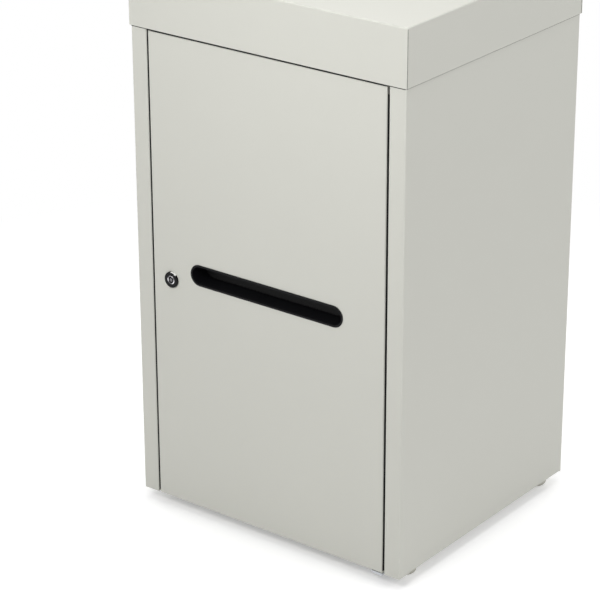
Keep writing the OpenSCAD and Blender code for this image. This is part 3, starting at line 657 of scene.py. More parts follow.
def merged_copy(node: str) -> Shape:
    """Copies a CAD node's shape, with its loose triangles joined and its flat faces whole.

    Args:
        node: The node's name.

    Returns:
        The shape.
    """
    touching, level = 0.0005 * MM, math.radians(0.2)
    shape = bmesh.new()
    shape.from_mesh(frame["nodes"][node].data)
    bmesh.ops.remove_doubles(shape, verts=shape.verts, dist=touching)
    bmesh.ops.dissolve_limit(
        shape, angle_limit=level, verts=shape.verts, edges=shape.edges, delimit={"NORMAL"}
    )
    return shape


def evenly(steps: int, reach: float = QUARTER, start: float = 0.0) -> list[float]:
    """Divides a reach, by default a quarter turn, into equal steps and gives all their ends."""
    return [start + reach * i / steps for i in range(steps + 1)]


def arc(
    x: float, y: float, radius: float, start: float, sweep: float = QUARTER, steps: int = 6
) -> list[Pair]:
    """Draws an arc about the point (x, y), from a starting angle over a sweep, both ends included."""
    return [(x + radius * math.cos(a), y + radius * math.sin(a)) for a in evenly(steps, sweep, start)]


def skin(shape: Shape, rings: Sequence[Sequence[bmesh.types.BMVert]]) -> Shape:
    """Joins each ring of vertices to the next with faces.

    Args:
        shape: The shape that holds them.
        rings: The rings. A ring of one vertex is a tip.

    Returns:
        The same shape, with its faces turned outwards.
    """
    count = max(map(len, rings))
    for low, high in zip(rings, rings[1:]):
        for i in range(count):
            j = (i + 1) % count
            corners = [low[i % len(low)], low[j % len(low)], high[j % len(high)], high[i % len(high)]]
            kept = list(dict.fromkeys(corners))
            if len(kept) > 2:
                shape.faces.new(kept)
    bmesh.ops.recalc_face_normals(shape, faces=shape.faces)
    return shape


def lathe(profile: Sequence[Pair], segments: int) -> Shape:
    """Turns a profile round the Z axis into a closed shape.

    Args:
        profile: Radius and height of each point, from the axis back to the axis.
        segments: Facets round the axis.

    Returns:
        The shape.
    """
    shape = bmesh.new()
    rings = []
    for radius, height in profile:
        turn = arc(0, 0, radius, 0, math.tau, segments)[:-1] if radius else [(0, 0)]
        rings.append([shape.verts.new((x, y, height)) for x, y in turn])
    return skin(shape, rings)


def loft(sections: Sequence[Sequence[Vector]]) -> Shape:
    """Joins equal sections, one after the other, into a shape that is closed at both ends.

    Args:
        sections: Each section's points, in order round it.

    Returns:
        The shape.
    """
    shape = bmesh.new()
    rings = [[shape.verts.new(point) for point in section] for section in sections]
    shape.faces.new(list(reversed(rings[0])))
    shape.faces.new(rings[-1])
    return skin(shape, rings)


def prism(outline: Sequence[Pair], low: float, high: float, taper: float = 1.0) -> Shape:
    """Stands an outline up along Z from low to high, its upper end scaled by the taper."""
    return loft([[Vector((x * k, y * k, z)) for x, y in outline] for k, z in ((1.0, low), (taper, high))])


def strip(name: str, sections: Sequence[Sequence[Vector]], edge: float, angle: float = 60.0) -> Piece:
    """Joins sections into a piece and takes its edges off.

    Args:
        name: The piece's name.
        sections: Each section's points, in order round it.
        edge: The width that comes off, in metres.
        angle: Edges that bend by more than this, in degrees, come off.

    Returns:
        The piece.
    """
    piece = to_object(name, loft(sections))
    round_edges(piece, edge, angle, segments=1)
    return piece


def cut(piece: Piece, *tools: Piece, operation: str = "DIFFERENCE") -> None:
    """Cuts shapes out of a piece, or keeps what they share, and deletes them.

    Args:
        piece: The piece.
        tools: The cutting objects.
        operation: DIFFERENCE, INTERSECT or UNION.
    """
    for tool in tools:
        modifier = piece.modifiers.new("cut", "BOOLEAN")
        modifier.object = tool
        modifier.operation = operation
        modifier.solver = "EXACT"
    apply_modifiers(piece)
    for tool in tools:
        discard(tool)


@dataclass(frozen=True)
class Extent:
    """The box of a node or of one of its solids."""

    low: Vector
    high: Vector

    @property
    def centre(self) -> Vector:
        """The middle of the box."""
        return (self.low + self.high) / 2

    @property
    def size(self) -> Vector:
        """The box's length along each axis."""
        return self.high - self.low

    def end(self, axis: Vector, inset: float) -> Vector:
        """Gives the middle of the end that an axis starts from, moved on along the axis by an inset."""
        return self.centre + axis * (inset - abs(self.size.dot(axis)) / 2)


def extent(node: str) -> Extent:
    """Gives a CAD node's box."""
    return Extent(*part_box(node))


def solids(node: str) -> list[Extent]:
    """Finds the separate solids of a CAD node.

    Args:
        node: The node's name.

    Returns:
        Each solid's box, from left to right, front to back and low to high.
    """
    shape = merged_copy(node)
    left = set(shape.verts)
    found = []
    while left:
        stack = [left.pop()]
        group = list(stack)
        while stack:
            joined = {vert for edge in stack.pop().link_edges for vert in edge.verts} & left
            left -= joined
            stack += joined
            group += joined
        low, high = (Vector(ends(vert.co[i] for vert in group) for i in range(3)) for ends in (min, max))
        found.append(Extent(low, high))
    shape.free()
    return sorted(found, key=lambda box: tuple(round(c, ndigits=4) for c in box.centre))


class Workshop:
    """Finishes pieces: material, body and the node that each one stands for."""

    def __init__(self, palette: Palette) -> None:
        """Keeps the finishes at hand, and the body of each node.

        Args:
            palette: The finishes.
        """
        self.palette = palette
        bodies = frame["record"]["behaviour"]["bodies"]
        self.bodies = {node: body for body, nodes in bodies.items() for node in nodes}

    def add(self, piece: Piece, finish: Finish, body: str) -> None:
        """Gives a piece its finish and lets it ride on a body.

        Args:
            piece: The piece.
            finish: Its finish.
            body: The body that it moves with.
        """
        piece.data.materials.clear()
        piece.data.materials.append(self.palette[finish])
        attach(piece, body)
        LOG.info("%s: %d faces on %s", piece.name, len(piece.data.polygons), body)

    def deliver(self, piece: Piece, finish: Finish, *nodes: str) -> None:
        """Gives a piece its finish and puts it in place of CAD nodes, all on one body."""
        self.add(piece, finish, self.bodies[nodes[0]])
        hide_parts(*nodes)

    def soften(self, finish: Finish, width: float, ending: str, *nodes: str) -> None:
        """Makes pieces from CAD nodes' shapes, with their edges rounded as paint or deburring rounds them.

        Args:
            finish: Their finish.
            width: The width of the rounding, in metres.
            ending: The last word of each piece's name.
            nodes: The nodes' names.
        """
        for node in nodes:
            piece = to_object(f"{node}_{ending}", merged_copy(node))
            round_edges(piece, width)
            self.deliver(piece, finish, node)

    def keep(self, finish: Finish, *nodes: str) -> None:
        """Gives CAD nodes that stay their finish.

        Args:
            finish: Their finish.
            nodes: The nodes' names.
        """
        for node in nodes:
            made = frame["nodes"][node]
            if not made.material_slots:
                made.data.materials.append(self.palette[finish])
            for holder in made.material_slots:
                holder.material = self.palette[finish]
            LOG.info("%s keeps its CAD shape", node)


# ---------------------------------------------------------------- fasteners


def fastener_tree() -> bpy.types.GeometryNodeTree:
    """Builds the tree that sets one fastener on each point, turned along the point's axis.

    Returns:
        The tree, with inputs Fastener, Size, Turn, Seed and Finish.
    """
    group = bpy.data.node_groups.new("fasteners", "GeometryNodeTree")
    inputs = {
        "Geometry": "Geometry", "Fastener": "Object", "Size": "Float", "Turn": "Float", "Seed": "Int",
        "Finish": "Material",
    }
    for name, kind in inputs.items():
        group.interface.new_socket(name, in_out="INPUT", socket_type=f"NodeSocket{kind}")
    group.interface.new_socket("Geometry", in_out="OUTPUT", socket_type="NodeSocketGeometry")
    tree = Tree(group)
    given = tree.node("NodeGroupInput").outputs
    named = {"Name": "axis"}
    axis = tree.socket("GeometryNodeInputNamedAttribute", "Attribute", named, data_type="FLOAT_VECTOR")
    along = tree.socket("FunctionNodeAlignRotationToVector", "Rotation", {"Vector": axis}, axis="Z")
    drawn = {RANDOM_TOP: given["Turn"], "Seed": given["Seed"]}
    angle = tree.socket("FunctionNodeRandomValue", RANDOM_RESULT, drawn, data_type="FLOAT")
    spin = tree.socket("FunctionNodeAxisAngleToRotation", 0, {"Axis": (0, 0, 1), "Angle": angle})
    both = {"Rotation": along, "Rotate By": spin}
    turned = tree.socket("FunctionNodeRotateRotation", 0, both, rotation_space="LOCAL")
    shown = {"Object": given["Fastener"], "As Instance": True}
    model = tree.socket("GeometryNodeObjectInfo", "Geometry", shown)
    points = tree.socket("GeometryNodeMeshToPoints", 0, {"Mesh": given["Geometry"]})
    placed = {"Points": points, "Instance": model, "Rotation": turned, "Scale": given["Size"]}
    copies = tree.socket("GeometryNodeInstanceOnPoints", 0, placed)
    real = tree.socket("GeometryNodeRealizeInstances", 0, {"Geometry": copies})
    dressed = tree.socket("GeometryNodeSetMaterial", 0, {"Geometry": real, "Material": given["Finish"]})
    tree.node("NodeGroupOutput", {"Geometry": dressed})
    return group


@dataclass(frozen=True)
class BlindRivet:
    """A dome-head blind rivet, from its head down to its bulb."""

    shank_d: float = 4.0 * MM
    head_d: float = 8.0 * MM
    head_h: float = 1.3 * MM
    bulb_h: float = 3.0 * MM
    fullness: float = 0.88
    pit: float = 0.5
    brim: float = 1.25
    mandrel: tuple[Pair, ...] = ((0.0, 0.5), (0.6, 0.45), (1.0, 0.6), (1.0, 0.95))
    bulb: tuple[Pair, ...] = ((1.4, 0.12), (1.45, 0.3), (1.0, 1.0))
    edge: float = 0.08 * MM

    def build(self, length: float) -> Piece:
        """Turns the rivet, with the pit that its mandrel leaves.

        Args:
            length: From the top of its head to the end of its bulb.

        Returns:
            The rivet.
        """
        shank, head, top = self.shank_d / 2, self.head_d / 2, -self.head_h
        pit = shank * self.pit
        brim = pit * self.brim
        dome = [
            (brim + (head - brim) * math.sin(a), top - top * self.fullness * (1 - math.cos(a)))
            for a in evenly(steps=6)
        ]
        grip = length - self.head_h - self.bulb_h
        profile = [
            *((pit * out, top * up) for out, up in self.mandrel), *dome,
            (head, 0), (shank, 0), (shank, grip),
            *((shank * out, grip + self.bulb_h * along) for out, along in self.bulb),
            (0, grip + self.bulb_h),
        ]
        piece = to_object("blind_rivet", lathe(profile, segments=24))
        round_edges(piece, self.edge, angle=50)
        return piece


@dataclass(frozen=True)
class FlatRivet:
    """A small solid rivet with a low head at each end."""

    shank_d: float = 3.0 * MM
    head_d: float = 5.4 * MM
    head_h: float = 0.9 * MM
    edge: float = 0.06 * MM

    def build(self, length: float) -> Piece:
        """Turns the rivet.

        Args:
            length: From head to head.

        Returns:
            The rivet.
        """
        shank, head, tip = self.shank_d / 2, self.head_d / 2, length - self.head_h
        crown = [(0, 1.0), (shank * 1.2, 1.0), (head * 0.94, 0.45), (head, 0), (shank, 0)]
        near = [(radius, -self.head_h * share) for radius, share in crown]
        far = [(radius, tip - self.head_h * (1 - share)) for radius, share in reversed(crown)]
        piece = to_object("flat_rivet", lathe(near + far, segments=32))
        round_edges(piece, self.edge, angle=50)
        return piece


@dataclass(frozen=True)
class MachineScrew:
    """A pan-head machine screw with a cross recess, and a nut near its tip where it has one."""

    thread_d: float = 5.0 * MM
    head_d: float = 9.0 * MM
    head_h: float = 2.75 * MM
    bend: float = 0.4
    recess_reach: float = 0.27
    recess_half: float = 0.055
    recess_floor: float = 0.35
    recess_taper: float = 0.45
    nut_w: float = 0.0
    nut_h: float = 4.0 * MM
    nut_from_tip: float = 1.0 * MM
    nut_bite: float = 0.02 * MM
    pitch: float = 0.8 * MM
    groove: float = 0.28 * MM
    plain: float = 0.6 * MM
    edge: float = 0.07 * MM

    def build(self, length: float) -> Piece:
        """Builds the screw with its threads as rings, its recess and its nut.

        Args:
            length: From the top of its head to its tip.

        Returns:
            The screw.
        """
        tip = length - self.head_h
        piece = to_object("machine_screw", lathe(self._profile(tip), segments=24))
        wide, slim = self.head_d * self.recess_reach, self.head_d * self.recess_half
        cross = []
        for angle in evenly(4, math.tau)[:-1]:
            turn = Matrix.Rotation(angle, 2)
            cross += [turn @ Vector(arm) for arm in ((wide, slim), (slim, slim), (slim, wide))]
        above = 0.1 * MM
        recess = prism(cross, -self.head_h - above, -self.head_h * self.recess_floor, self.recess_taper)
        cut(piece, to_object("recess", recess))
        round_edges(piece, self.edge, angle=60)
        if self.nut_w:
            nut = HexNut(self.nut_w, self.thread_d / 2 - self.nut_bite).build(self.nut_h)
            nut.data.transform(Matrix.Translation((0, 0, tip - self.nut_from_tip - self.nut_h)))
            cut(piece, nut, operation="UNION")
        return piece

    def _profile(self, tip: float) -> list[Pair]:
        """Draws the screw's outline.

        Args:
            tip: How far its tip is from the underside of its head.

        Returns:
            Radius and height of each point, from the top of its head to its tip.
        """
        head, thread, root = self.head_d / 2, self.thread_d / 2, self.thread_d / 2 - self.groove
        bend = self.head_h * self.bend
        crown = arc(head - bend, bend - self.head_h, bend, -QUARTER, steps=4)
        points = [(0, -self.head_h), *crown, (head, 0), (thread, 0)]
        turns = max(int((tip - 2 * self.plain) / self.pitch), 1)
        start = tip - self.plain - turns * self.pitch
        for turn in range(turns):
            base = start + turn * self.pitch
            points += [(thread, base), (root, base + self.pitch / 2)]
        return [*points, (thread, start + turns * self.pitch), (root, tip), (0, tip)]


@dataclass(frozen=True)
class HexNut:
    """A hexagon nut whose corners are chamfered on both faces."""

    across_flats: float
    bore_r: float
    chamfer: float = 0.6
    face: float = 0.98
    mouth: float = 1.1
    lead: float = 0.4 * MM
    looser: float = 1.0005
    edge: float = 0.06 * MM
    head_h: float = 0.0

    def build(self, length: float) -> Piece:
        """Builds the nut by meeting a hexagon prism with a turned blank.

        Args:
            length: From face to face.

        Returns:
            The nut, standing on zero.
        """
        apothem = self.across_flats / 2
        corner = apothem / math.cos(math.pi / 6)
        outline = arc(0, 0, corner, 0, math.tau)[:-1]
        piece = to_object("hex_nut", prism(outline, 0, length))
        flat, round_r = apothem * self.face * self.looser, corner * self.looser
        drop = (corner - apothem) * self.chamfer
        blank = [(0, 0), (flat, 0), (round_r, drop), (round_r, length - drop), (flat, length), (0, length)]
        cut(piece, to_object("blank", lathe(blank, segments=48)), operation="INTERSECT")
        mouth, past = self.bore_r * self.mouth, 0.1 * MM
        bore = [
            (0, -past), (mouth, -past), (self.bore_r, self.lead), (self.bore_r, length - self.lead),
            (mouth, length + past), (0, length + past),
        ]
        cut(piece, to_object("bore", lathe(bore, segments=32)))
        round_edges(piece, self.edge, angle=50, segments=1)
        return piece


@dataclass(frozen=True)
class Bumper:
    """A self-adhesive rubber dome."""

    radius: float
    base: float = 0.3
    fullness: float = 0.7
    head_h: float = 0.0

    def build(self, length: float) -> Piece:
        """Turns the dome.

        Args:
            length: From its flat face to its crown.

        Returns:
            The dome.
        """
        base = length * self.base
        crown = [
            (self.radius * math.cos(a) ** self.fullness, base + (length - base) * math.sin(a))
            for a in evenly(steps=8)[:-1]
        ]
        profile = [(0, 0), (self.radius, 0), *crown, (0, length)]
        piece = to_object("bumper", lathe(profile, segments=40))
        for face in piece.data.polygons:
            face.use_smooth = True
        return piece


Fastener = BlindRivet | FlatRivet | MachineScrew | HexNut | Bumper


class FastenerKit:
    """Sets fasteners where the CAD nodes hold them, by one shared tree.

    Each fastener is built with its head's underside at zero and its tip along +Z.
    """

    def __init__(self, shop: Workshop) -> None:
        """Builds the tree, for pieces that the workshop finishes."""
        self.shop = shop
        self.tree = fastener_tree()

    def fit(
        self, name: str, finish: Finish, part: Fastener, axis: Vector, *nodes: str, seed: int = 1,
        boxes: Sequence[Extent] | None = None,
    ) -> None:
        """Sets a fastener in each box.

        Args:
            name: The piece's name.
            finish: Its finish.
            part: The fastener.
            axis: The way from head to tip.
            nodes: The CAD nodes that the piece stands for.
            seed: The seed of the fasteners' random turns about the axis.
            boxes: The boxes, or None for those of all solids of the first node.
        """
        boxes = boxes or solids(nodes[0])
        mesh = bpy.data.meshes.new(name)
        mesh.from_pydata([tuple(box.end(axis, part.head_h)) for box in boxes], [], [])
        along = mesh.attributes.new("axis", "FLOAT_VECTOR", "POINT")
        along.data.foreach_set("vector", [*axis] * len(boxes))
        piece, model = new_object(name, mesh), part.build(abs(boxes[0].size.dot(axis)))
        modifier = piece.modifiers.new("fasteners", "NODES")
        modifier.node_group = self.tree
        material = self.shop.palette[finish]
        fed = {"Fastener": model, "Size": 1.0, "Turn": math.tau, "Seed": seed, "Finish": material}
        for item in self.tree.interface.items_tree:
            if item.name in fed:
                modifier[item.identifier] = fed[item.name]
        apply_modifiers(piece)
        discard(model)
        self.shop.deliver(piece, finish, *nodes)


# ---------------------------------------------------------------- strips of painted shade in gaps and seams


@dataclass(frozen=True)
class Station:
    """A place along a strip of painted shade: a point of the wall in line with the front, and the way off the
    wall.

    The strip lies between two depths behind the front there.
    """

    point: Vector
    way: Vector
    start: float
    end: float


@dataclass(frozen=True)
class GapShadeStrip:
    """A thin black strip on a folded wall, from a little behind the front round the bend: painted shade in a
    gap.
    """

    thickness: float = 0.3 * MM
    bend_r: float = 2.0 * MM
    sunk: float = 0.05 * MM
    least_curve: float = 0.5 * MM
    least_flat: float = 0.1 * MM
    edge: float = 0.08 * MM
    steps: int = 4

    def _bend(self, depth: float) -> float:
        """Gives how far the bend has fallen back from the wall at a depth, as a negative number."""
        ahead = max(self.bend_r - depth, 0.0)
        return math.sqrt(self.bend_r**2 - ahead**2) - self.bend_r

    def _section(self, start: float, end: float) -> list[Pair]:
        """Gives the strip's section.

        Args:
            start: The depth of its front edge.
            end: The depth of its rear edge.

        Returns:
            Each point's distance off the wall, and its depth.
        """
        turned = min(max(self.bend_r, start + self.least_curve), end - self.least_flat)
        curve = [(self._bend(depth), depth) for depth in evenly(self.steps, turned - start, start)]
        curve.append((0.0, end))
        inner = [(off - self.sunk, depth) for off, depth in curve]
        return inner + [(off + self.thickness, depth) for off, depth in reversed(curve)]

    def build(self, name: str, stations: Sequence[Station]) -> Piece:
        """Sweeps the strip along its stations.

        Args:
            name: The piece's name.
            stations: The places that it passes, in order.

        Returns:
            The piece.
        """
        sections = [
            [at.point + at.way * off + BACKWARDS * depth for off, depth in self._section(at.start, at.end)]
            for at in stations
        ]
        return strip(name, sections, self.edge, angle=40)


@dataclass(frozen=True)
class CapShadowStrip:
    """A dark strip between the cap's skirt and the body, along the front and both sides: the skirt's painted
    shadow.
    """

    gap: float = 0.5 * MM
    height: float = 6.0 * MM
    front_shows: float = 1.25 * MM
    side_shows: float = 0.85 * MM
    bend_r: float = 2.0 * MM
    sunk: float = 0.05 * MM
    chamfer: float = 0.1 * MM
    edge: float = 0.04 * MM
    steps: int = 6

    def build(self, body: Extent, skirt: float) -> Piece:
        """Sweeps the strip from one rear corner round the front to the other.

        Args:
            body: The box of the body's sheet metal.
            skirt: The height of the skirt's edge.

        Returns:
            The piece.
        """
        path = []
        for side, _ in LEFT_RIGHT:
            rear = Vector((side * body.high.x, body.high.y - self.bend_r, 0))
            run = [(rear, Vector((side, 0, 0)), self.side_shows)]
            centre = Vector((side * (body.high.x - self.bend_r), body.low.y + self.bend_r, 0))
            for share in evenly(self.steps, 1.0):
                way = Vector((side * math.cos(QUARTER * share), -math.sin(QUARTER * share), 0))
                shows = self.side_shows + (self.front_shows - self.side_shows) * share
                run.append((centre + way * self.bend_r, way, shows))
            path += run[::-side]
        near, far, bevel = -self.sunk, self.gap - self.sunk, self.chamfer
        high = skirt - self.front_shows + self.height
        sections = []
        for point, way, shows in path:
            low = skirt - shows
            profile = [(near, low), (far - bevel, low), (far, low + bevel), (far, high), (near, high)]
            sections.append([point + way * off + UP * z for off, z in profile])
        return strip("cap_foam_tape", sections, self.edge)


@dataclass(frozen=True)
class SeamShadeFill:
    """A grey fill down an open corner seam of the cap, sunk a little and never quite even: painted shade in
    the seam.
    """

    width: float = 1.1 * MM
    depth: float = 0.8 * MM
    sunk: float = 0.25 * MM
    hollow: float = 0.1 * MM
    waver: float = 0.06 * MM
    beat: float = 2.3
    shift: float = 9000.0
    edge: float = 0.05 * MM
    steps: int = 14

    def build(self, name: str, mouth: Vector, side: int, low: float, high: float) -> Piece:
        """Draws one bead.

        Args:
            name: The piece's name.
            mouth: The middle of the slit, on the skirt's outer face.
            side: -1 on the left skirt, 1 on the right.
            low: The height of the bead's lower end.
            high: The height of its upper end.

        Returns:
            The piece.
        """
        face = ((-0.5, 0.0), (-0.25, 0.7), (0.0, 1.0), (0.25, 0.7), (0.5, 0.0))
        sections = []
        for step, height in enumerate(evenly(self.steps, high - low, low)):
            sunk = self.sunk + self.waver * math.sin(self.beat * step + mouth.y * self.shift)
            section = [(across, sunk + share * self.hollow) for across, share in face]
            section += [(0.5, self.depth), (-0.5, self.depth)]
            sections.append([
                Vector((mouth.x - side * back, mouth.y + across * self.width, height))
                for across, back in section
            ])
        return strip(name, sections, self.edge)


# ---------------------------------------------------------------- sub-assemblies


@dataclass
class Cabinet:
    """The folded sheet-steel body with its cap, feet and inner ironmongery."""

    shop: Workshop
    kit: FastenerKit
    paint_edge: float = 0.3 * MM
    plate_edge: float = 0.2 * MM
    foot_edge: float = 0.4 * MM
    nut_w: float = 8.0 * MM
    shade_strip: GapShadeStrip = GapShadeStrip()
    shade_strip_depth: float = 8.0 * MM
    shade_strip_rise: float = 2.0 * MM
    shade_strip_below_cap: float = 1.3 * MM
    left_setback: float = 1.5 * MM
    right_setback: float = 3.0 * MM
    seam_from_corner: float = 1.5 * MM
    seam_above_edge: float = 0.1 * MM
    seam_below_top: float = 2.1 * MM

    def build(self) -> None:
        """Builds every piece of the body."""
        shop = self.shop
        shop.soften(
            Finish.PAINT, self.paint_edge, "sheet", "left_side_panel", "right_side_panel", "back_panel",
            "base_pan", "header_rail", "top_cap", "left_bin_guide", "right_bin_guide",
        )
        plates = ("upper_pivot_plate", "lower_pivot_plate", "lock_strike")
        shop.soften(Finish.ZINC, self.plate_edge, "strip", *plates)
        shop.keep(Finish.PAINT, "cap_channel")
        shop.keep(Finish.ZINC, "upper_pivot_pin", "lower_pivot_pin")
        feet = [f"{end}_{side}_foot" for end in ("front", "rear") for _, side in LEFT_RIGHT]
        shop.soften(Finish.FOOT_PLASTIC, self.foot_edge, "moulding", *feet)
        self._fasteners()
        self._shade_strips()
        self._cap_shade_strips()

    def _fasteners(self) -> None:
        """Sets the rivets of the back, the cap and the strike, all screws, and the door's bumpers."""
        zinc, fit = Finish.ZINC, self.kit.fit
        for node in ("back_rivets", "cap_rivets"):
            fit(f"{node}_set", zinc, BlindRivet(), FORWARDS, node)
        fit("strike_rivets_set", zinc, FlatRivet(), BACKWARDS, "strike_rivets")
        screw = MachineScrew(nut_w=self.nut_w, nut_h=extent("foot_nuts").size.z)
        fit("foot_screws_set", zinc, screw, UP, "foot_screws", "foot_nuts", seed=3)
        screw = MachineScrew(nut_w=self.nut_w)
        fit("cap_screws_set", zinc, screw, UP, "cap_screws", seed=5)
        middle = extent("pivot_screws").centre.z
        low, high = [], []
        for box in solids("pivot_screws"):
            (low if box.centre.z < middle else high).append(box)
        fit("lower_pivot_screws", zinc, screw, UP, "pivot_screws", seed=7, boxes=low)
        fit("upper_pivot_screws", zinc, MachineScrew(), -UP, "pivot_screws", seed=9, boxes=high)
        bumper = Bumper(solids("door_bumpers")[0].size.x / 2)
        fit("door_bumpers_set", Finish.RUBBER, bumper, FORWARDS, "door_bumpers")

    def _shade_strips(self) -> None:
        """Lays a black strip of painted shade on the inner wall of each jamb."""
        bottom = extent("door_panel").low.z + self.shade_strip_rise
        top = extent("top_cap").low.z - self.shade_strip_below_cap
        for (side, word), start in zip(LEFT_RIGHT, (self.left_setback, self.right_setback)):
            panel = f"{word}_side_panel"
            box = extent(panel)
            wall = box.high.x if side < 0 else box.low.x
            stations = [
                Station(Vector((wall, box.low.y, z)), Vector((-side, 0, 0)), start, self.shade_strip_depth)
                for z in (bottom, top)
            ]
            piece = self.shade_strip.build(f"{word}_jamb_edging", stations)
            self.shop.add(piece, Finish.RUBBER, self.shop.bodies[panel])

    def _cap_shade_strips(self) -> None:
        """Lays a dark strip under the cap's skirt as its painted shadow, and fills the skirt's corner seams
        with painted shade.
        """
        cap = extent("top_cap")
        sheets = Extent(extent("left_side_panel").low, extent("right_side_panel").high)
        body = self.shop.bodies["top_cap"]
        self.shop.add(CapShadowStrip().build(sheets, cap.low.z), Finish.RUBBER, body)
        low, high = cap.low.z + self.seam_above_edge, cap.high.z - self.seam_below_top
        for side, word in LEFT_RIGHT:
            for end, place in ((-1, "front"), (1, "rear")):
                mouth = Vector((side * cap.high.x, end * (cap.high.y - self.seam_from_corner), 0))
                bead = SeamShadeFill().build(f"{word}_{place}_cap_bead", mouth, side, low, high)
                self.shop.add(bead, Finish.SEALANT, body)


@dataclass
class Door:
    """The door pan with its stiffeners, slot liner, hood and flap, and a black strip of painted shade in its
    gaps.
    """

    shop: Workshop
    kit: FastenerKit
    paint_edge: float = 0.3 * MM
    liner_edge: float = 0.25 * MM
    flap_edge: float = 0.2 * MM
    rod_edge: float = 0.4 * MM
    clip_edge: float = 0.1 * MM
    nut_bore_r: float = 2.05 * MM
    shade_strip: GapShadeStrip = GapShadeStrip()
    shade_strip_depth: float = 8.0 * MM
    shade_strip_rise: float = 2.5 * MM
    top_setback: float = 0.9 * MM
    side_setback: float = 1.6 * MM
    corner_run: float = 8.0 * MM
    bush_gap: float = 1.0 * MM
    bush_behind: float = 0.1 * MM
    narrowing: float = 3.0 * MM

    def build(self) -> None:
        """Builds every piece of the door but its lock."""
        soften = self.shop.soften
        soften(Finish.PAINT, self.paint_edge, "sheet", "door_panel", "upper_stiffener", "lower_stiffener")
        soften(Finish.BLACK_PLASTIC, self.liner_edge, "moulding", "slot_liner")
        soften(Finish.BLACK_PAINT, self.paint_edge, "sheet", "flap_hood")
        soften(Finish.BLACK_PAINT, self.flap_edge, "sheet", "slot_flap")
        soften(Finish.ZINC, self.rod_edge, "wire", "flap_rod")
        soften(Finish.ZINC, self.clip_edge, "spring", "rod_clips")
        self.shop.keep(Finish.NYLON, "upper_bush", "lower_bush")
        nut = HexNut(solids("hood_nuts")[0].size.z, self.nut_bore_r)
        self.kit.fit("hood_nuts_set", Finish.ZINC, nut, BACKWARDS, "hood_nuts", seed=2)
        self._shade_strip()

    def _shade_strip(self) -> None:
        """Lays one black strip of painted shade up the left wall, along the top and down the right wall,
        clear of the bush.
        """
        pan, bush = extent("door_panel"), extent("upper_bush")
        side, over, run = self.side_setback, self.top_setback, self.corner_run
        corner = (side + over) / 2
        deep, shallow = self.shade_strip_depth, bush.low.y - pan.low.y - self.bush_behind
        left, right, low, top = pan.low.x, pan.high.x, pan.low.z + self.shade_strip_rise, pan.high.z
        beside, under = bush.low.x - self.bush_gap, bush.low.z
        plan = [
            (left, low, (-1, 0), side, deep),
            (left, top - run, (-1, 0), side, deep),
            (left, top, (-1, 1), corner, deep),
            (left + run, top, (0, 1), over, deep),
            (beside - self.narrowing, top, (0, 1), over, deep),
            (beside, top, (0, 1), over, shallow),
            (right - run, top, (0, 1), over, shallow),
            (right, top, (1, 1), corner, shallow),
            (right, under, (1, 0), side, shallow),
            (right, under - self.narrowing, (1, 0), side, deep),
            (right, low, (1, 0), side, deep),
        ]
        stations = [
            Station(Vector((x, pan.low.y, z)), Vector((out, 0, up)), start, end)
            for x, z, (out, up), start, end in plan
        ]
        piece = self.shade_strip.build("door_edging", stations)
        self.shop.add(piece, Finish.RUBBER, self.shop.bodies["door_panel"])


@dataclass
class Lock:
    """The cam lock with its bezel, ring-keyed cylinder, nut and cam."""

    shop: Workshop
    housing_edge: float = 0.2 * MM
    plug_edge: float = 0.12 * MM
    nut_edge: float = 0.25 * MM
    cam_edge: float = 0.2 * MM
    bolt_edge: float = 0.15 * MM

    def build(self) -> None:
        """Builds the lock's pieces."""
        soften = self.shop.soften
        soften(Finish.LOCK_BLACK, self.housing_edge, "casting", "lock_housing")
        soften(Finish.CHROME, self.plug_edge, "cylinder", "lock_plug")
        soften(Finish.ZINC, self.nut_edge, "hexagon", "lock_nut")
        soften(Finish.ZINC, self.cam_edge, "blade", "lock_cam")
        soften(Finish.ZINC, self.bolt_edge, "head", "cam_bolt")


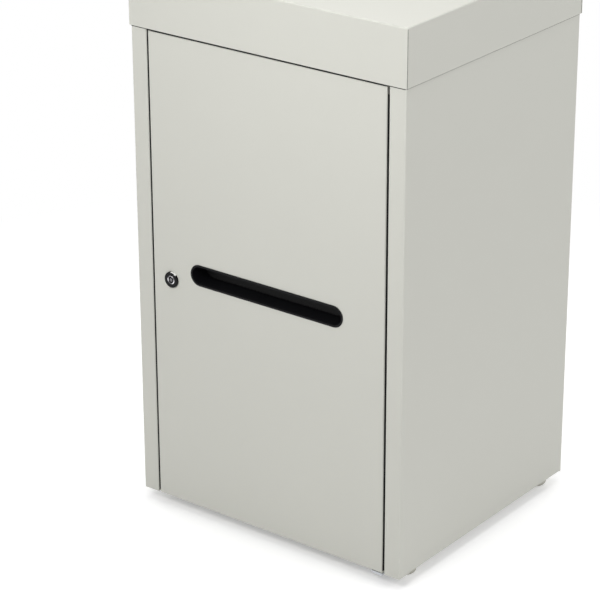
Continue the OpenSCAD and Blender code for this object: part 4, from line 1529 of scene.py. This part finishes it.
@dataclass
class Bin:
    """The moulded collection bin: one wall swept round, with a rolled rim and two hand holes."""

    shop: Workshop
    wall: float = 2.5 * MM
    corner: float = 14.0 * MM
    rim: float = 6.0 * MM
    rim_h: float = 9.0 * MM
    rim_root: tuple[Pair, ...] = ((0.0, -1.2 * MM), (0.6 * MM, -0.3 * MM), (1.8 * MM, 0.0))
    shoulder: float = 1.2 * MM
    foot_r: float = 5.0 * MM
    front_h: float = 262.0 * MM
    slope_from: float = 0.22
    slope_to: float = 0.62
    slope_ease: float = 0.1
    hole_w: float = 90.0 * MM
    hole_h: float = 30.0 * MM
    hole_drop: float = 45.0 * MM
    hole_from_back: float = 0.19
    cutter_half: float = 20.0 * MM
    edge: float = 0.5 * MM
    corner_steps: int = 12
    side_steps: int = 56
    hole_steps: int = 16

    def __post_init__(self) -> None:
        """Reads the bin's outline from the frame."""
        box = extent("inner_bin")
        self.low, self.high = box.low.z, box.high.z
        self.half = box.size.x / 2 - self.rim
        self.front, self.back = box.low.y + self.rim, box.high.y - self.rim
        self.length = self.back - self.front
        self.centre_x = box.centre.x

    def build(self) -> None:
        """Builds the bin and cuts its hand holes."""
        piece = to_object("inner_bin_moulding", self._wall())
        cut(piece, *(to_object("hand_hole", self._stadium(side)) for side, _ in LEFT_RIGHT))
        round_edges(piece, self.edge, angle=50)
        self.shop.deliver(piece, Finish.BIN_PLASTIC, "inner_bin")

    def _edge_height(self, y: float) -> float:
        """Gives the height of the bin's edge: low in front, then a slope with eased ends, then high.

        Args:
            y: The place from front to back.

        Returns:
            The height of the edge there.
        """
        start, end = (self.front + self.length * share for share in (self.slope_from, self.slope_to))
        share, ease = (y - start) / (end - start), self.slope_ease
        near = min(share, 1 - share)
        eased = near if near >= ease else max(near + ease, 0.0) ** 2 / (4 * ease)
        low = self.low + self.front_h
        return low + (self.high - low) * (eased if share < 0.5 else 1 - eased)

    def _outline(self) -> list[tuple[Vector, Vector]]:
        """Walks round the bin's outline.

        Returns:
            Each point and its outward direction.
        """
        points = []
        x, front, back = self.half - self.corner, self.front + self.corner, self.back - self.corner
        for quarter, centre in enumerate(((x, front), (x, back), (-x, back), (-x, front))):
            for angle in evenly(self.corner_steps, QUARTER, QUARTER * (quarter - 1)):
                way = Vector((math.cos(angle), math.sin(angle)))
                points.append((Vector(centre) + way * self.corner, way))
            if quarter % 2 == 0:
                start = points[-1][0]
                for along in evenly(self.side_steps, (back - front) * (1 - quarter))[1:-1]:
                    points.append((start + Vector((0, along)), way))
        return points

    def _section(self, top: float) -> list[Pair]:
        """Gives the wall's section, from the outside of the floor to the inside.

        Args:
            top: The height of the edge at this place.

        Returns:
            Each point's distance outside the outline, and its height.
        """
        wall, bend, bevel = self.wall, self.foot_r, self.shoulder
        inner, reach, under, lip = bend - wall, self.rim - wall, top - wall, top - self.rim_h
        return [
            *arc(-bend, self.low + bend, bend, -QUARTER),
            *((out, under + up) for out, up in self.rim_root),
            (reach, under), (reach, lip), (self.rim, lip),
            *arc(reach, under, wall, 0),
            *arc(bevel - wall, top - bevel, bevel, QUARTER),
            *arc(-wall - inner, self.low + wall + inner, inner, 0, -QUARTER),
        ]

    def _wall(self) -> Shape:
        """Sweeps the section round the outline and closes the floor.

        Returns:
            The bin without its hand holes.
        """
        shape = bmesh.new()
        columns = []
        for point, way in self._outline():
            column = []
            for out, height in self._section(self._edge_height(point.y)):
                spot = point + way * out
                column.append(shape.verts.new((self.centre_x + spot.x, spot.y, height)))
            columns.append(column)
        for here, after in zip(columns, columns[1:] + columns[:1]):
            for i in range(len(here) - 1):
                shape.faces.new([here[i], after[i], after[i + 1], here[i + 1]])
        shape.faces.new([column[0] for column in reversed(columns)])
        shape.faces.new([column[-1] for column in columns])
        bmesh.ops.remove_doubles(shape, verts=shape.verts, dist=0.001 * MM)
        bmesh.ops.recalc_face_normals(shape, faces=shape.faces)
        return shape

    def _stadium(self, side: int) -> Shape:
        """Makes the cutter of one hand hole.

        Args:
            side: -1 for the left, 1 for the right.

        Returns:
            The cutter.
        """
        radius, reach = self.hole_h / 2, (self.hole_w - self.hole_h) / 2
        outline = arc(reach, 0, radius, -QUARTER, math.pi, self.hole_steps)
        outline += arc(-reach, 0, radius, QUARTER, math.pi, self.hole_steps)
        shape = prism(outline, -self.cutter_half, self.cutter_half)
        stand = Matrix(((0, 0, 1, 0), (1, 0, 0, 0), (0, 1, 0, 0), (0, 0, 0, 1)))
        y = self.back - self.length * self.hole_from_back
        place = Matrix.Translation((self.centre_x + side * self.half, y, self.high - self.hole_drop))
        shape.transform(place @ stand)
        return shape


# ---------------------------------------------------------------- studio


@dataclass(frozen=True)
class Lamp:
    """A soft rectangular lamp that looks at a point, and shows in shiny surfaces only where it glints."""

    name: str
    place: Vector
    target: Vector
    size: Pair
    watts: float
    glints: bool = False

    def build(self) -> None:
        """Hangs the lamp."""
        light = bpy.data.lights.new(self.name, "AREA")
        light.shape = "RECTANGLE"
        light.size, light.size_y = self.size
        light.energy = self.watts
        made = new_object(self.name, light)
        made.location = self.place
        made.rotation_euler = (self.target - self.place).to_track_quat("-Z", "Y").to_euler()
        made.visible_camera = False
        made.visible_glossy = self.glints


@dataclass
class Studio:
    """White surroundings, a pale floor that keeps the shadow, soft lamps and the camera."""

    ambient: float = 0.37
    floor_half: float = 6.0
    floor_tone: float = 0.82
    floor_glow: float = 0.32
    fade_from: float = 0.5
    fade_to: float = 1.1
    camera_place: tuple[float, float, float] = (1.7141, -2.3310, 1.5082)
    azimuth: float = 37.698
    elevation: float = 23.256
    roll: float = -0.183
    focal_px: float = 2520.1
    picture_px: int = 600
    sensor: float = 36.0

    def build(self) -> None:
        """Builds the studio."""
        self._world()
        self._floor()
        self._lamps()
        self._camera()
        bpy.context.scene.view_settings.view_transform = "Standard"

    def _world(self) -> None:
        """Makes the surroundings white to the eye and a plain level of light."""
        world = bpy.data.worlds.new("studio")
        bpy.context.scene.world = world
        graph = Graph(world)
        plain, white = (
            graph.socket("ShaderNodeBackground", 0, {"Color": (1, 1, 1, 1), "Strength": strength})
            for strength in (self.ambient, 1.0)
        )
        graph.node("ShaderNodeOutputWorld", {"Surface": graph.blend(plain, white, graph.sight())})

    def _floor(self) -> None:
        """Lays the floor, white to the eye but for the object's shadow, and plain white far from it."""
        half = self.floor_half
        mesh = bpy.data.meshes.new("floor")
        corners = [(-half, -half, 0), (half, -half, 0), (half, half, 0), (-half, half, 0)]
        mesh.from_pydata(corners, [], [(0, 1, 2, 3)])
        material = bpy.data.materials.new("floor")
        mesh.materials.append(material)
        graph = Graph(material)
        grey = (self.floor_tone, self.floor_tone, self.floor_tone, 1)
        diffuse = graph.socket("ShaderNodeBsdfDiffuse", 0, {"Color": grey})
        glow, white = (
            graph.socket("ShaderNodeEmission", 0, {"Strength": strength})
            for strength in (self.floor_glow, 1.0)
        )
        near = graph.socket("ShaderNodeAddShader", 0, {0: diffuse, 1: glow})
        far = graph.length(graph.place()).rise(self.fade_from, self.fade_to - self.fade_from)
        shown = graph.blend(diffuse, graph.blend(near, white, far), graph.sight())
        graph.node("ShaderNodeOutputMaterial", {"Surface": shown})
        floor = new_object("floor", mesh)

    def _lamps(self) -> None:
        """Hangs a key lamp close before the door, and a wide lamp on each other side and above."""
        middle, wide = Vector((0, 0, 0.35)), (1.2, 0.9)
        for lamp in (
            Lamp("key", Vector((0.12, -1.0, 1.05)), Vector((0, -0.18, 0.45)), (0.8, 0.4), 6.4),
            Lamp("right", Vector((2.2, 0.3, 1.85)), middle, wide, 18.8),
            Lamp("left", Vector((-2.3, 0.3, 1.5)), middle, wide, 15.0),
            Lamp("back", Vector((0.0, 2.2, 1.4)), middle, wide, 14.0),
            Lamp("top", Vector((0.0, 0.0, 2.8)), middle, (1.8, 1.8), 18.0, glints=True),
        ):
            lamp.build()

    def _camera(self) -> None:
        """Sets the camera at the photograph's viewing angle."""
        camera = bpy.data.cameras.new("camera")
        camera.sensor_width = self.sensor
        camera.lens = self.focal_px * self.sensor / self.picture_px
        camera.clip_start, camera.clip_end = 0.05, 60
        made = new_object("camera", camera)
        turns = ((self.azimuth, "Z"), (90 - self.elevation, "X"), (self.roll, "Z"))
        aim = Matrix.Translation(self.camera_place)
        for angle, axis in turns:
            aim = aim @ Matrix.Rotation(math.radians(angle), 4, axis)
        made.matrix_world = aim
        bpy.context.scene.camera = made


# ---------------------------------------------------------------- the console


def main() -> None:
    """Builds the studio and every piece."""
    logging.basicConfig(level=logging.INFO, format="%(name)s %(message)s")
    Studio().build()
    plug = extent("lock_plug")
    shop = Workshop(Palette(plug.end(BACKWARDS, 0.0)))
    kit = FastenerKit(shop)
    Cabinet(shop, kit).build()
    Door(shop, kit).build()
    Lock(shop).build()
    Bin(shop).build()


if __name__ == "__main__":
    main()
